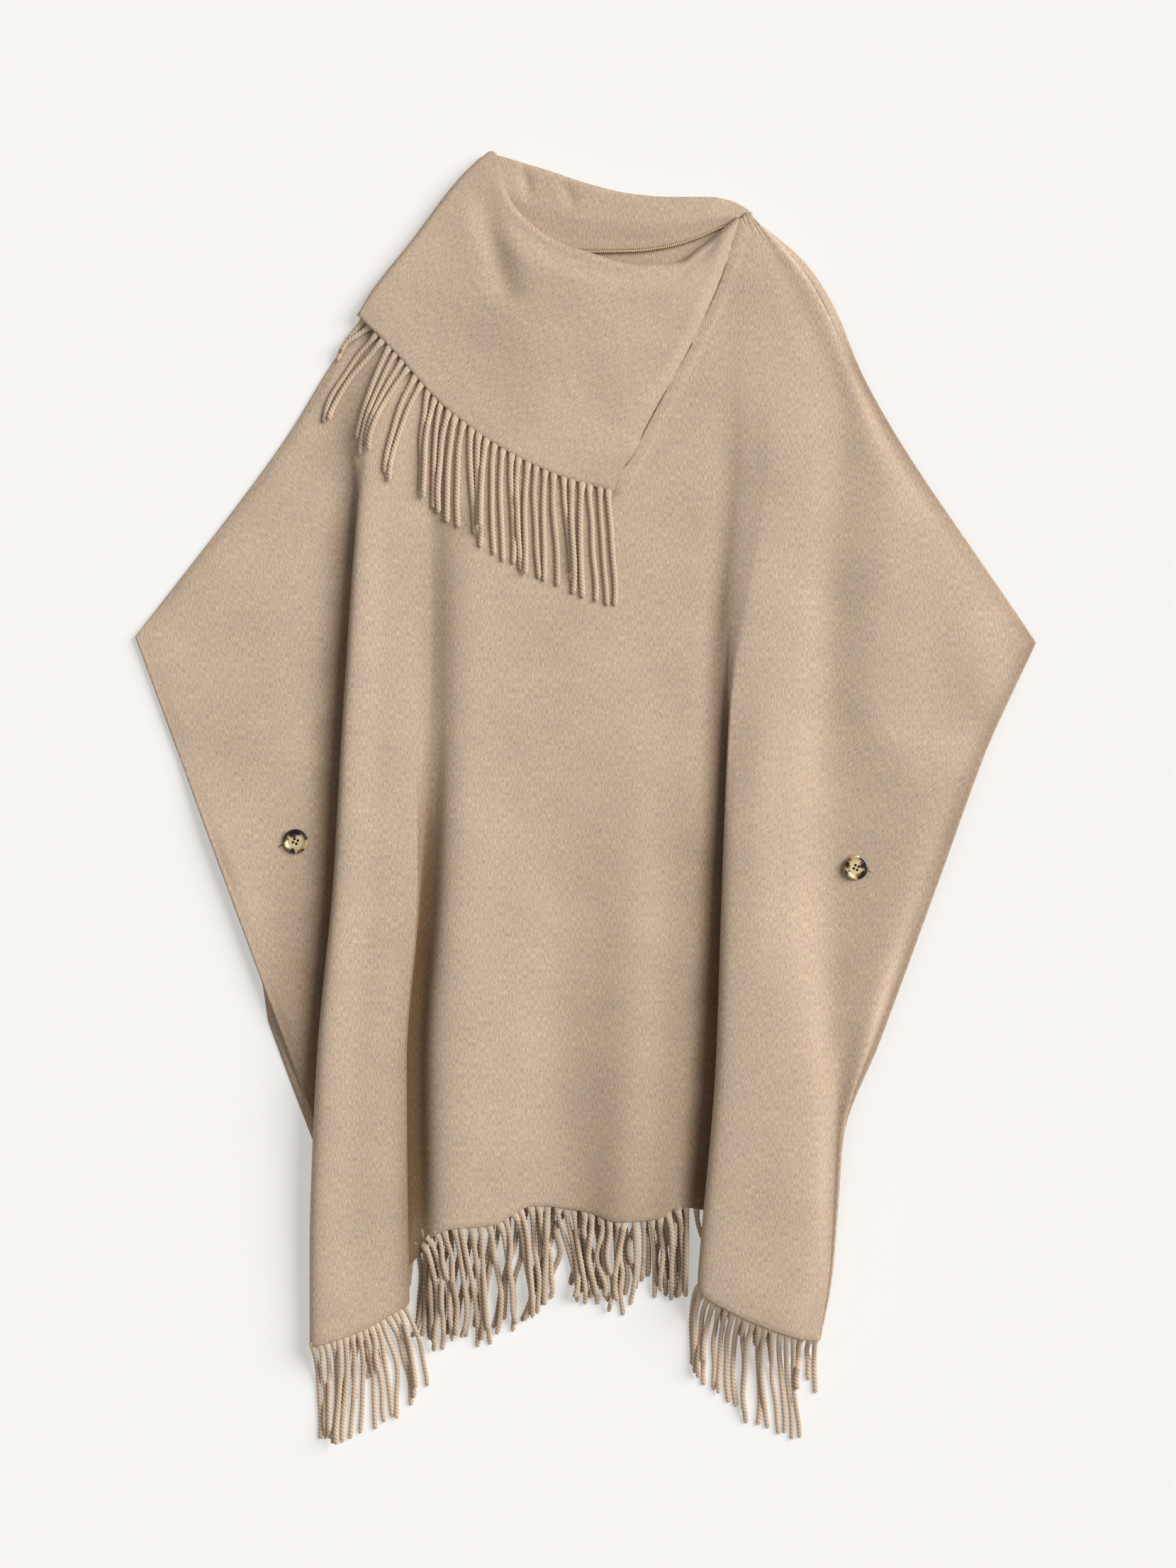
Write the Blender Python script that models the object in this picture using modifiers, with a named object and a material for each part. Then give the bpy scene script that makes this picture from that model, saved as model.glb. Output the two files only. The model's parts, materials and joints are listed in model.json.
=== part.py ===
"""Wool poncho with a fringed scarf collar, laid flat on its back with the front up.

The neck points to +Y, the hem to -Y and +X is the right of the picture a viewer sees from above.
The cloth rests on z = 0. Each cut piece is an open surface, lofted from a few named lines,
and thickened to the wool's own thickness.
"""
import math

import bmesh
import bpy
import numpy as np
from mathutils import Vector
from mathutils.bvhtree import BVHTree

MM = 0.001

# Cloth: heights are those of the middle of its thickness
CLOTH = 2.0 * MM
GAP = 0.3 * MM
LAY = 1.5 * CLOTH + GAP            # a layer on top of the back panel
SHOULDER_INSET = 8.5 * MM          # the back stops short where the front rolls down over it
MARGIN = 7.0 * MM                  # width along the sides that stays flat, or rolls down
ROLL_DOWN = 0.3                    # slope of the roll along the shoulders
WING_SWELL = 0.8 * MM              # a wing isn't quite flat
TURN_RADIUS = 2.6 * MM             # of a hidden turn inside a fold
BROW = 6.5 * MM                    # from a fold's edge to where its top is flat

# The front is a set of lines that run from the shoulders and the neck down to the hem.
# LEVELS are the places along the garment, neck to hem, at which a line's x is given.
LEVELS = np.array([470, 390, 300, 70, -215, -380, -440]) * MM
LINES = {
    #                470   390   300    70  -215  -380  -440
    "crease_left": (-70, -154, -176, -192, -214, -221, -221),
    "lip_left": (-58, -118, -129, -131, -140, -137, -134),
    "groove_left": (-50, -110, -117, -117, -132, -131, -130),
    "flank_left": (-42, -95, -100, -100, -116, -117, -117),
    "crest_left": (-30, -61, -64, -64, -66, -66, -66),
    "shelf": (-8, -24, -26, -26, -26, -26, -26),
    "trough": (20, 11, 7, 3, 6, 8, 8),
    "crest_right": (51, 49, 48, 48, 49, 45, 45),
    "descent": (100, 91, 91, 86, 74, 68, 66),
    "groove_right": (114, 126, 136, 110, 101, 86, 80),
    "crease_right": (117, 136, 146, 121, 108, 93, 89),
    "ridge_right": (123, 158, 181, 175, 192, 186, 175),
    "trough_right": (126, 181, 219, 216, 210, 191.5, 180.5),
}
# How high each line stands, at the same levels
HEIGHTS = {
    #             470 390 300  70 -215 -380 -440
    "top_left": (5, 7, 15, 20, 24, 22, 20),
    "lip_left": (5, 6, 11, 16, 21, 20, 18),
    "groove_left": (5, 5, 7, 6, 3.6, 3.4, 3.4),
    "crest_left": (5, 6, 10, 15, 17, 14, 12),
    "shelf": (5, 6, 10, 14.5, 15, 11, 9),
    "trough": (5, 6, 10, 14, 13, 9, 7),
    "crest_right": (6, 7, 10, 15, 16, 13, 11),
    "groove_right": (6, 6, 7.5, 5, 3.6, 3.4, 3.4),
    "top_right": (6, 7, 12, 19, 24, 23, 21),
    "ridge_right": (6, 7, 12, 19, 25, 23, 20),
    "trough_right": (6, 5.5, 7, 8, 8, 9, 9),
}
# How deep the hidden layer of each fold runs in beyond its crease
TUCKS = {
    "left": (0, 0, 14, 28, 42, 48, 48),
    "right": (0, 0, 0, 12, 38, 42, 42),
}
# Between these levels a wave turns over and becomes a fold that overhangs its neighbour
FOLDS_OVER = {"left": (375 * MM, 275 * MM), "right": (210 * MM, 40 * MM)}

# Outlines of the front, as x at each y: shoulders fall to the wing tips, sides run to the hem
TIP_LEFT = (-365.0, 129.4)
TIP_RIGHT = (365.0, 124.8)
SHOULDER_LEFT = [(-107, 454), (-190, 373), (-245, 287.5), TIP_LEFT]
SHOULDER_RIGHT = [(130, 472.6), (178, 433), (200, 399.6), (225, 341), TIP_RIGHT]
SIDE_LEFT = [TIP_LEFT, (-218, -269), (-196, -420)]
SIDE_RIGHT = [TIP_RIGHT, (322.6, 33), (287.5, -63), (238, -198), (209, -274), (204.7, -321),
              (198, -389), (188.6, -438)]
# The front's neck edge: down inside the collar to the chest, then up the diagonal seam
NECK_BOTTOM = (31.5, 264.0)
NECK_LEFT = [(-107, 454), (-60, 410), (-15, 340), (14, 280), NECK_BOTTOM]
NECK_SEAM = [NECK_BOTTOM, (54.6, 310), (85, 366), (110, 422), (126, 468), (130, 472.6)]

# The points across a section, left to right: where the hem lies below each, and how many cells
# follow it before the next one
ACROSS = [
    # name             hem   cells
    ("side_left", -417, 1),
    ("margin_left", -418, 1),
    ("wing_left", -419, 2),
    ("run_in_left", -422, 1),
    ("turn_left", -424, 1),
    ("run_back_left", -427, 1),
    ("under_left", -436, 2),
    ("crease_left", -445, 2),
    ("shoulder_left", -444, 2),
    ("top_left", -432, 2),
    ("brow_left", -411, 2),
    ("lip_left", -399, 2),
    ("groove_left", -356, 2),
    ("flank_left", -352, 2),
    ("crest_left", -347, 2),
    ("shelf", -331, 2),
    ("trough", -336, 2),
    ("crest_right", -344, 2),
    ("descent", -342, 2),
    ("groove_right", -333, 2),
    ("run_in_right", -350, 1),
    ("turn_right", -355, 1),
    ("run_back_right", -362, 1),
    ("under_right", -380, 2),
    ("crease_right", -392, 2),
    ("shoulder_right", -402, 2),
    ("top_right", -424, 2),
    ("ridge_right", -438, 2),
    ("trough_right", -438.5, 2),
    ("wing_right", -438.6, 1),
    ("margin_right", -438.7, 1),
    ("side_right", -438.8, 0),
]
ROWS_ABOVE_TIPS = 10
ROWS_BELOW_TIPS = 13


# Scarf collar: crests of its edges, as x, y and height. The front stretch lies over the chest
# from the rim at the neck to its fringed end; the back stretch stands behind the neck.
RIM = [(-76, 519, 11), (-67, 487, 13), (-51, 465.5, 14.5), (-26, 447.5, 15.5), (3, 436.5, 16),
       (38, 427.5, 15), (74, 428, 13), (92, 439, 11), (109.5, 452, 8.5), (123, 464.5, 6.2)]
COLLAR_SIDE = [(-76, 519, 11), (-96, 500, 11), (-139.5, 444, 10.5), (-166, 411, 10.5),
               (-183, 388, 9)]
COLLAR_END = [(-183, 388, 9), (-155, 360, 9), (-113, 314, 9), (-62, 278, 12), (-13, 256, 14),
              (22.5, 246.5, 14)]
SCARF_CORNER = (22.5, 246.5, 14)
SEAM_TOP = (123, 464.5)
SEAM_GAP = 1.1 * MM                # the collar's edge stays this far from the front's in plan
ROLL_RADIUS = 3.0 * MM
RIM_TAIL = 14.0 * MM               # how far the rim's inner side runs back under the collar
SIDE_TAIL = 5.0 * MM
ROLL_STEPS = 5
COLLAR_CELLS = (18, 14)

# Behind the neck: the seam to the back, and the crest where the scarf folds over
BACK_SEAM = [(-66, 470, 1), (-40, 450, 1), (4, 442.5, 1), (37, 443, 1), (68, 447, 1),
             (92, 454.5, 1), (111, 462.5, 1), (117, 467, 1)]
BACK_CREST = [(-62, 511, 5), (-31, 503.5, 7.4), (2, 492.5, 7.8), (37, 484.5, 7.6),
              (68, 482, 7.6), (100, 482, 7.4), (111, 480, 7), (119, 475, 5.5)]
BACK_RADIUS = 3.0 * MM
BACK_TAIL = 10.0 * MM
BACK_CELLS = (14, 5)

# The back lies on the floor with its hem just short of the front's, and shows a sliver of its
# own side below the left wing
BACK_SIDE_LEFT = [(-362, 124), (-263, -145), (-257.5, -182), (-234.6, -244), (-218, -287),
                  (-214, -300), (-212, -438)]
BACK_HEM = [(-212, -438), (-190, -431), (-165, -416), (-142, -397), (-137, -347), (-75, -343),
            (-45, -327), (0, -326), (25, -337), (70, -336), (80, -327), (96, -329), (98, -385),
            (125, -412), (150, -425), (186, -435)]
BACK_STEPS = 12

# Fringe: plain slabs of the reach of the twisted strands
SLAB = 3.6 * MM
FRINGE_GAP = 0.8 * MM
FRINGE_ROWS = (0, 0.04, 0.2, 0.4, 0.6, 0.8, 1)
# Where the ends of the strands lie, left to right
ENDS_LEFT = [(-216, -521), (-202, -523.9), (-183, -516), (-164, -507), (-142, -493), (-129, -474)]
ENDS_CENTER = [(-121, -446), (-86, -444), (-58, -432), (-30, -408), (10, -411), (35, -415),
               (80, -405)]
ENDS_RIGHT = [(86, -461), (96, -477), (130, -505), (167, -520.5), (184, -500)]
ENDS_BACK = [(-126, -440), (-90, -436), (-58, -424), (-20, -402), (20, -406), (76, -398)]
ENDS_COLLAR = [(-208, 304), (-183, 284), (-158, 256), (-120, 229), (-86, 203), (-51, 181),
               (-24, 171), (23, 155)]

# Buttons: turned discs with a raised rim and a dished middle, and four sewing holes
BUTTON_RADIUS = 10.0 * MM
BUTTON_THICKNESS = 3.4 * MM
BUTTON_RIM = 2.4 * MM
BUTTON_DISH = 1.1 * MM
HOLE_RADIUS = 0.9 * MM
HOLE_OFFSET = 2.1 * MM
HOLE_TURN = math.radians(20)
BUTTONS = {"button_left": (-234.8, -36.1), "button_right": (218.3, -57.2)}


def smooth(edge_0, edge_1, value):
    """0 at edge_0, 1 at edge_1 and an S between them."""
    t = np.clip((value - edge_0) / (edge_1 - edge_0), 0.0, 1.0)
    return t * t * (3.0 - 2.0 * t)


def mix(a, b, share):
    """a where share is 0, b where it is 1."""
    return a + (b - a) * share


def through(stations, values, at):
    """The monotone cubic through the values at the stations, which run up or down."""
    x = np.asarray(stations, float)
    v = np.asarray(values, float)
    if x[0] > x[-1]:
        x, v = x[::-1], v[::-1]
    step = np.diff(x)
    slope = np.diff(v) / step
    before, after = slope[:-1], slope[1:]
    same_way = before * after > 0
    near, far = step[:-1] + 2 * step[1:], 2 * step[:-1] + step[1:]
    blend = near / np.where(same_way, before, 1) + far / np.where(same_way, after, 1)
    inner = np.where(same_way, (near + far) / np.where(same_way, blend, 1), 0)
    tangent = np.concatenate([[slope[0]], inner, [slope[-1]]])
    at = np.clip(at, x[0], x[-1])
    k = np.clip(np.searchsorted(x, at, side="right") - 1, 0, len(x) - 2)
    t = (at - x[k]) / step[k]
    rise = (tangent[k] * t * (1 - t) ** 2 + tangent[k + 1] * t * t * (t - 1)) * step[k]
    return mix(v[k], v[k + 1], t * t * (3 - 2 * t)) + rise


def x_at_y(points, y):
    """x of an outline at y, straight from point to point, in metres."""
    table = np.array(points, float) * MM
    table = table[np.argsort(table[:, 1])]
    return np.interp(y, table[:, 1], table[:, 0])


def curve_at_y(points, y):
    """x of an outline at y, on a smooth line through its points, in metres."""
    table = np.array(points, float) * MM
    table = table[np.argsort(table[:, 1])]
    return through(table[:, 1], table[:, 0], y)


def left_outline(y):
    tip = TIP_LEFT[1] * MM
    return np.where(y > tip, curve_at_y(SHOULDER_LEFT, y), x_at_y(SIDE_LEFT, y))


def right_outline(y):
    tip = TIP_RIGHT[1] * MM
    return np.where(y > tip, curve_at_y(SHOULDER_RIGHT, y), curve_at_y(SIDE_RIGHT, y))


def z_fold(approach, turn, crease, low, top, over):
    """Points of a fold, from the layer it stands on to its crease: {suffix: (x, z)}.

    Where over is 0 they lie on a plain slope from the approach up to the crease. Where it is 1
    the low layer runs in to the turn, comes back above itself and turns up at the crease.
    """
    back = turn - 1.5 * TURN_RADIUS
    back_height = LAY + 2 * TURN_RADIUS
    slope = {share: (mix(approach, crease, share), mix(low, top, 0.9 * share))
             for share in (0.3, 0.45, 0.55, 0.7, 1.0)}
    folded = {
        0.3: (back, LAY),
        0.45: (turn, LAY + TURN_RADIUS),
        0.55: (back, back_height),
        0.7: (mix(crease, turn, 0.4), back_height + 0.3 * MM),
        1.0: (crease, 0.5 * (back_height + top)),
    }
    names = ("run_in", "turn", "run_back", "under", "crease")
    return {name: tuple(mix(a, b, over) for a, b in zip(slope[share], folded[share]))
            for name, share in zip(names, slope)}


def section(y):
    """x and z of every point of ACROSS at the places y along the garment, as (point, 2, ...)."""
    left, right = left_outline(y), right_outline(y)
    at = {name: through(LEVELS, np.array(LINES[name]) * MM, y) for name in LINES}
    up = {name: through(LEVELS, np.array(HEIGHTS[name]) * MM, y) for name in HEIGHTS}
    tuck = {side: through(LEVELS, np.array(TUCKS[side]) * MM, y) for side in TUCKS}
    over = {side: smooth(*FOLDS_OVER[side], y) for side in FOLDS_OVER}
    p = {}

    # Wing, fold and groove on the left
    crease, lip = at["crease_left"], at["lip_left"]
    turn = crease + tuck["left"]
    wing = mix(crease, turn, over["left"]) - left
    margin = np.minimum(MARGIN, 0.25 * wing)
    roll = smooth(TIP_LEFT[1] * MM, (TIP_LEFT[1] + 30) * MM, y)
    p["side_left"] = left, LAY - ROLL_DOWN * margin * roll
    p["margin_left"] = left + margin, LAY + 0 * y
    p["wing_left"] = left + 0.5 * wing, LAY + WING_SWELL * smooth(20 * MM, 90 * MM, wing)
    fold = z_fold(left + 0.5 * wing, turn, crease, LAY, up["top_left"], over["left"])
    p.update({f"{name}_left": place for name, place in fold.items()})
    brow = np.minimum(BROW, 0.2 * (lip - crease))
    p["shoulder_left"] = crease + brow, up["top_left"] - 1.5 * MM
    p["top_left"] = mix(crease, lip, 0.5), up["top_left"]
    p["brow_left"] = lip - brow, up["lip_left"]
    p["lip_left"] = lip, mix(up["groove_left"], up["lip_left"], 0.6)
    p["groove_left"] = at["groove_left"], up["groove_left"]
    p["flank_left"] = at["flank_left"], mix(up["groove_left"], up["crest_left"], 0.6)

    # Centre
    for name in ("crest_left", "shelf", "trough", "crest_right"):
        p[name] = at[name], up[name]
    p["descent"] = at["descent"], mix(up["groove_right"], up["crest_right"], 0.55)

    # Groove, fold and wing on the right
    groove, crease, ridge = at["groove_right"], at["crease_right"], at["ridge_right"]
    p["groove_right"] = groove, up["groove_right"]
    fold = z_fold(groove, crease + tuck["right"], crease, up["groove_right"], up["top_right"],
                  over["right"])
    p.update({f"{name}_right": place for name, place in fold.items()})
    p["shoulder_right"] = (crease + np.minimum(BROW, 0.2 * (ridge - crease)),
                           up["top_right"] - 1.5 * MM)
    p["top_right"] = mix(crease, ridge, 0.55), up["top_right"]
    p["ridge_right"] = ridge, up["ridge_right"]
    p["trough_right"] = at["trough_right"], up["trough_right"]
    wing = right - at["trough_right"]
    margin = np.minimum(MARGIN, 0.35 * wing)
    roll = smooth(TIP_RIGHT[1] * MM, (TIP_RIGHT[1] + 30) * MM, y)
    p["wing_right"] = right - 0.6 * wing, mix(LAY, up["trough_right"], 0.4)
    p["margin_right"] = right - margin, LAY + 0 * y
    p["side_right"] = right, LAY - ROLL_DOWN * margin * roll
    return np.array([np.broadcast_arrays(*p[name]) for name, *_ in ACROSS])


def spline_across(points, place):
    """Centripetal curve through a section's points at the places across, such as 3.5 halfway
    between the points 3 and 4. Close points, as at a crease, don't make it swing out."""
    points = np.concatenate([2 * points[:1] - points[1:2], points,
                             2 * points[-1:] - points[-2:-1]])
    segment = np.minimum(place.astype(int), len(points) - 4)
    t = place - segment
    rows = np.broadcast_to(segment, points.shape[2:])
    pick = [np.take_along_axis(points, np.broadcast_to(rows + k, (1, *points.shape[1:])), 0)[0]
            for k in range(4)]
    before, start, end, after = pick

    def spacing(a, b):
        return np.maximum(np.hypot(*(b - a)), 1e-7) ** 0.5

    s0, s1, s2 = spacing(before, start), spacing(start, end), spacing(end, after)
    leave = s1 * ((start - before) / s0 - (end - before) / (s0 + s1)) + end - start
    arrive = end - start - s1 * ((after - start) / (s1 + s2) - (after - end) / s2)
    return (mix(start, end, t * t * (3 - 2 * t)) + leave * t * (1 - t) ** 2
            + arrive * t * t * (t - 1))


def neck_edge(x):
    """y of the front's neck edge at x: the hidden side, then the diagonal seam."""
    left, seam = np.array(NECK_LEFT).T * MM, np.array(NECK_SEAM).T * MM
    return np.where(x < seam[0][0], through(left[0], left[1], x), through(seam[0], seam[1], x))


def front_top(place):
    """Where each column starts: the y at which its own line meets the neck edge."""
    low = np.full(place.shape, NECK_BOTTOM[1] * MM - 5 * MM)
    high = np.full(place.shape, SHOULDER_RIGHT[0][1] * MM + 3 * MM)
    for _ in range(30):
        middle = 0.5 * (low + high)
        above = middle > neck_edge(spline_across(section(middle), place)[0])
        low, high = np.where(above, low, middle), np.where(above, middle, high)
    return middle


def front_points():
    """The front's grid, neck to hem and left to right, with a row that meets both wing tips."""
    place = np.array([k + j / cells for k, (_, _, cells) in enumerate(ACROSS)
                      for j in range(cells)] + [len(ACROSS) - 1.0])
    hem = through(np.arange(len(ACROSS)), np.array([h for _, h, _ in ACROSS]) * MM, place)
    tips = mix(TIP_LEFT[1], TIP_RIGHT[1], place / place[-1]) * MM
    above = np.linspace(front_top(place), tips, ROWS_ABOVE_TIPS + 1)
    y = np.concatenate([above, np.linspace(tips, hem, ROWS_BELOW_TIPS + 1)[1:]])
    x, z = spline_across(section(y), place)
    inside = (place >= 1) & (place <= len(ACROSS) - 2)
    return np.stack([x, y, np.where(inside, np.maximum(z, LAY), z)], -1)


def fabric(name, color, roughness=0.95, sheen=0.0):
    material = bpy.data.materials.new(name)
    material.use_nodes = True
    shader = material.node_tree.nodes["Principled BSDF"]
    shader.inputs["Base Color"].default_value = (*color, 1)
    shader.inputs["Roughness"].default_value = roughness
    shader.inputs["Sheen Weight"].default_value = sheen
    material.diffuse_color = (*color, 1)
    return material


def add(name, mesh, material, collection):
    obj = bpy.data.objects.new(name, mesh)
    mesh.materials.append(material)
    collection.objects.link(obj)
    return obj


def grid_faces(rows, columns):
    """Corner numbers of the cells of a grid, turned so that a row that runs to +X, above a row
    nearer the hem, faces up."""
    at = np.arange(rows * columns).reshape(rows, columns)
    return np.stack([at[:-1, :-1], at[1:, :-1], at[1:, 1:], at[:-1, 1:]], -1).reshape(-1, 4)


def cloth(name, points, material, collection, thickness=CLOTH):
    """A wall of cloth with the grid of points in the middle of its thickness."""
    mesh = bpy.data.meshes.new(name)
    faces = grid_faces(*points.shape[:2])
    mesh.from_pydata(points.reshape(-1, 3).tolist(), [], faces.tolist())
    mesh.shade_smooth()
    obj = add(name, mesh, material, collection)
    wall = obj.modifiers.new("thickness", "SOLIDIFY")
    wall.thickness = thickness
    wall.offset = 0.0
    return obj


def along(points, shares):
    """x, y (and z) at shares of the length of the smooth line through the points, in metres."""
    points = np.array(points, float)
    length = np.concatenate([[0], np.cumsum(np.linalg.norm(np.diff(points, axis=0), axis=1))])
    return np.stack([through(length / length[-1], column, shares) for column in points.T], -1)


def outward(line_points):
    """Unit vectors in plan, square to a line and to its left as it runs."""
    run = np.gradient(line_points[:, :2], axis=0)
    run /= np.linalg.norm(run, axis=1, keepdims=True)
    return np.stack([-run[:, 1], run[:, 0]], -1)


def rolled(steps, radius, turn, tail):
    """How far a rolled edge reaches out and down, from its crest (0) to its end: an arc that
    turns through the angle, then a straight tail. Arrays of (step, place along the edge)."""
    arc = np.linspace(0, 1, steps)[:, None] * turn
    out = np.concatenate([radius * np.sin(arc), [radius * np.sin(turn) + tail * np.cos(turn)]])
    down = np.concatenate([radius * (1 - np.cos(arc)),
                           [radius * (1 - np.cos(turn)) + tail * np.sin(turn)]])
    return out, down


def patch(top, bottom, left, right, across_count, down_count):
    """The surface between four lines, blended from both pairs (a Coons patch)."""
    u = np.linspace(0, 1, across_count)
    v = np.linspace(0, 1, down_count)
    top, bottom, left, right = along(top, u), along(bottom, u), along(left, v), along(right, v)
    u, v = u[None, :, None], v[:, None, None]
    corners = mix(mix(top[0], top[-1], u), mix(bottom[0], bottom[-1], u), v)
    return mix(top[None], bottom[None], v) + mix(left[:, None], right[:, None], u) - corners


def tree_of(*objects):
    """A search tree of the finished walls of these objects."""
    graph = bpy.context.evaluated_depsgraph_get()
    vertices, faces = [], []
    for obj in objects:
        mesh = obj.evaluated_get(graph).to_mesh()
        first = len(vertices)
        vertices += [obj.matrix_world @ v.co for v in mesh.vertices]
        faces += [[first + i for i in p.vertices] for p in mesh.polygons]
    return BVHTree.FromPolygons(vertices, faces)


def surface_below(tree, x, y, reach):
    """The highest surface within reach of each place in plan, or the floor."""
    around = np.arange(8) * math.pi / 4
    offsets = [(0, 0)] + [(reach * math.cos(turn), reach * math.sin(turn)) for turn in around]
    tops = np.zeros(x.shape)
    for index in np.ndindex(*x.shape):
        hits = [tree.ray_cast((x[index] + dx, y[index] + dy, 0.2), (0, 0, -1))[0]
                for dx, dy in offsets]
        tops[index] = max([hit.z for hit in hits if hit is not None], default=0.0)
    return tops


def settled(z, support, passes, free):
    """Heights z let down onto the support like a limp sheet: each pass moves every free place
    halfway to the mean of its neighbours, and never below the support."""
    z = np.maximum(z, support)
    for _ in range(passes):
        padded = np.pad(z, 1, mode="edge")
        mean = 0.25 * (padded[:-2, 1:-1] + padded[2:, 1:-1] + padded[1:-1, :-2] + padded[1:-1, 2:])
        z = np.where(free, np.maximum(mix(z, mean, 0.5), support), z)
    return z


def metres(points):
    return [tuple(value * MM for value in point) for point in points]


def collar_points(front, support_tree):
    """The front stretch of the collar: a patch between rim, side, end and diagonal seam, let
    down onto the front, with its rim and its side rolled under."""
    across_count, down_count = COLLAR_CELLS[0] + 1, COLLAR_CELLS[1] + 1
    edge = front[0]                                     # the front's neck edge
    edge = edge[np.argmin(edge[:, 1]):]                 # its diagonal, from the chest up
    seam = [(x, y) for x, y, _z in edge if y < SEAM_TOP[1] * MM]
    seam = np.array(seam)
    away = outward(seam) * SEAM_GAP
    heights = np.interp(seam[:, 1], edge[:, 1], edge[:, 2])
    seam = np.concatenate([seam + away, heights[:, None]], 1)[::-1]
    top, side, end = metres(RIM), metres(COLLAR_SIDE), metres(COLLAR_END)
    right = np.concatenate([[top[-1]], seam, [np.array(SCARF_CORNER) * MM]])
    points = patch(top, end, side, right, across_count, down_count)

    # Over the front, the collar lies a layer above it; along the seam it is level with it
    x, y, z = np.moveaxis(points, -1, 0)
    support = surface_below(support_tree, x, y, 9 * MM) + GAP + 0.5 * CLOTH
    beside_seam = (np.arange(across_count) == across_count - 1) & (
        y > (NECK_BOTTOM[1] + 25) * MM)
    support = np.where(beside_seam, 0, support)
    free = np.ones(z.shape, bool)
    free[0], free[:, 0], free[:, -1] = False, False, False
    z = settled(z, support, 30, free)

    # Roll the rim and the side under
    u, v = np.linspace(0, 1, across_count), np.linspace(0, 1, down_count)
    turn = math.pi * mix(0.25, 1.0, smooth(0, 0.15, u)) * mix(1, 0.2, smooth(0.8, 1, u))
    tail = RIM_TAIL * mix(0.1, 1, smooth(0.12, 0.3, u) * smooth(0.82, 0.6, u))
    rim_out, rim_down = rolled(ROLL_STEPS, ROLL_RADIUS, turn, tail)
    turn = math.pi * mix(0.25, 1.0, smooth(0, 0.15, v)) * mix(1, 0.1, smooth(0.7, 1, v))
    tail = SIDE_TAIL * mix(0.25, 1, smooth(0.12, 0.3, v) * smooth(0.75, 0.55, v))
    side_out, side_down = rolled(ROLL_STEPS, ROLL_RADIUS, turn, tail)
    rim_way = outward(np.stack([x[0], y[0]], -1))
    side_way = -outward(np.stack([x[:, 0], y[:, 0]], -1))
    first_row, first_column = ROLL_STEPS, ROLL_STEPS
    rows = np.concatenate([np.arange(ROLL_STEPS, 0, -1), np.zeros(down_count, int)])
    columns = np.concatenate([np.arange(ROLL_STEPS, 0, -1), np.zeros(across_count, int)])
    i = np.maximum(np.arange(len(rows)) - first_row, 0)[:, None]
    j = np.maximum(np.arange(len(columns)) - first_column, 0)[None, :]
    step_i, step_j = rows[:, None], columns[None, :]
    plan = np.stack([x, y], -1)[i, j]
    plan = plan + rim_way[j] * rim_out[step_i, j][..., None]
    plan = plan + side_way[i] * side_out[step_j, i][..., None]
    z = z[i, j] - rim_down[step_i, j] - side_down[step_j, i]
    return np.concatenate([plan, z[..., None]], -1)


def back_collar_points():
    """The back stretch of the collar: from its seam at the back of the neck up to its crest,
    then folded over and down behind itself."""
    across_count, down_count = BACK_CELLS[0] + 1, BACK_CELLS[1] + 1
    crest, seam = metres(BACK_CREST), metres(BACK_SEAM)
    points = patch(crest, seam, [crest[0], seam[0]], [crest[-1], seam[-1]],
                   across_count, down_count)
    v = np.linspace(0, 1, down_count)[:, None]
    low, high = points[-1, :, 2], points[0, :, 2]
    points[:, :, 2] = mix(high, low, smooth(0, 1, v))
    u = np.linspace(0, 1, across_count)
    turn = math.pi * smooth(-0.1, 0.2, u) * mix(1, 0.4, smooth(0.85, 1, u))
    tail = BACK_TAIL * mix(0.1, 1, smooth(0.18, 0.35, u) * smooth(0.85, 0.7, u))
    out, down = rolled(ROLL_STEPS, BACK_RADIUS, turn, tail)
    way = outward(points[0])
    steps = np.arange(ROLL_STEPS, 0, -1)
    roll = np.concatenate([points[0, :, :2] + way * out[steps][..., None],
                           (points[0, :, 2] - down[steps])[..., None]], -1)
    return np.concatenate([roll, points])


def back_outline(seam):
    """The edge of the back, once round: shoulders inset under the front's roll, sides flush,
    and the neck edge along the collar's seam."""
    def shoulder(outline, tip, top, inset):
        y = np.linspace(tip[1] * MM + 4 * MM, top * MM, BACK_STEPS)
        return np.stack([outline(y) + inset, y], -1)

    left = shoulder(left_outline, TIP_LEFT, SHOULDER_LEFT[0][1] - 8, SHOULDER_INSET)[::-1]
    right = shoulder(right_outline, TIP_RIGHT, SHOULDER_RIGHT[0][1] - 12, -SHOULDER_INSET)
    y = np.linspace(BACK_HEM[-1][1] * MM, TIP_RIGHT[1] * MM, BACK_STEPS)
    side = np.stack([right_outline(y), y], -1)
    neck = seam[::-1, :2] + outward(seam[::-1]) * 2 * GAP
    return np.concatenate([left, metres(BACK_SIDE_LEFT), metres(BACK_HEM)[1:], side[1:], right,
                           neck])


def flat_plate(name, outline, thickness, material, collection):
    """A flat outline with its underside on the floor."""
    curve = bpy.data.curves.new(name, "CURVE")
    curve.dimensions = "2D"
    curve.fill_mode = "BOTH"
    curve.extrude = 0.5 * thickness
    spline = curve.splines.new("POLY")
    spline.points.add(len(outline) - 1)
    for point, (x, y) in zip(spline.points, outline):
        point.co = (x, y, 0, 1)
    spline.use_cyclic_u = True
    obj = add(name, curve, material, collection)
    obj.location.z = 0.5 * thickness
    return obj


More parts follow.
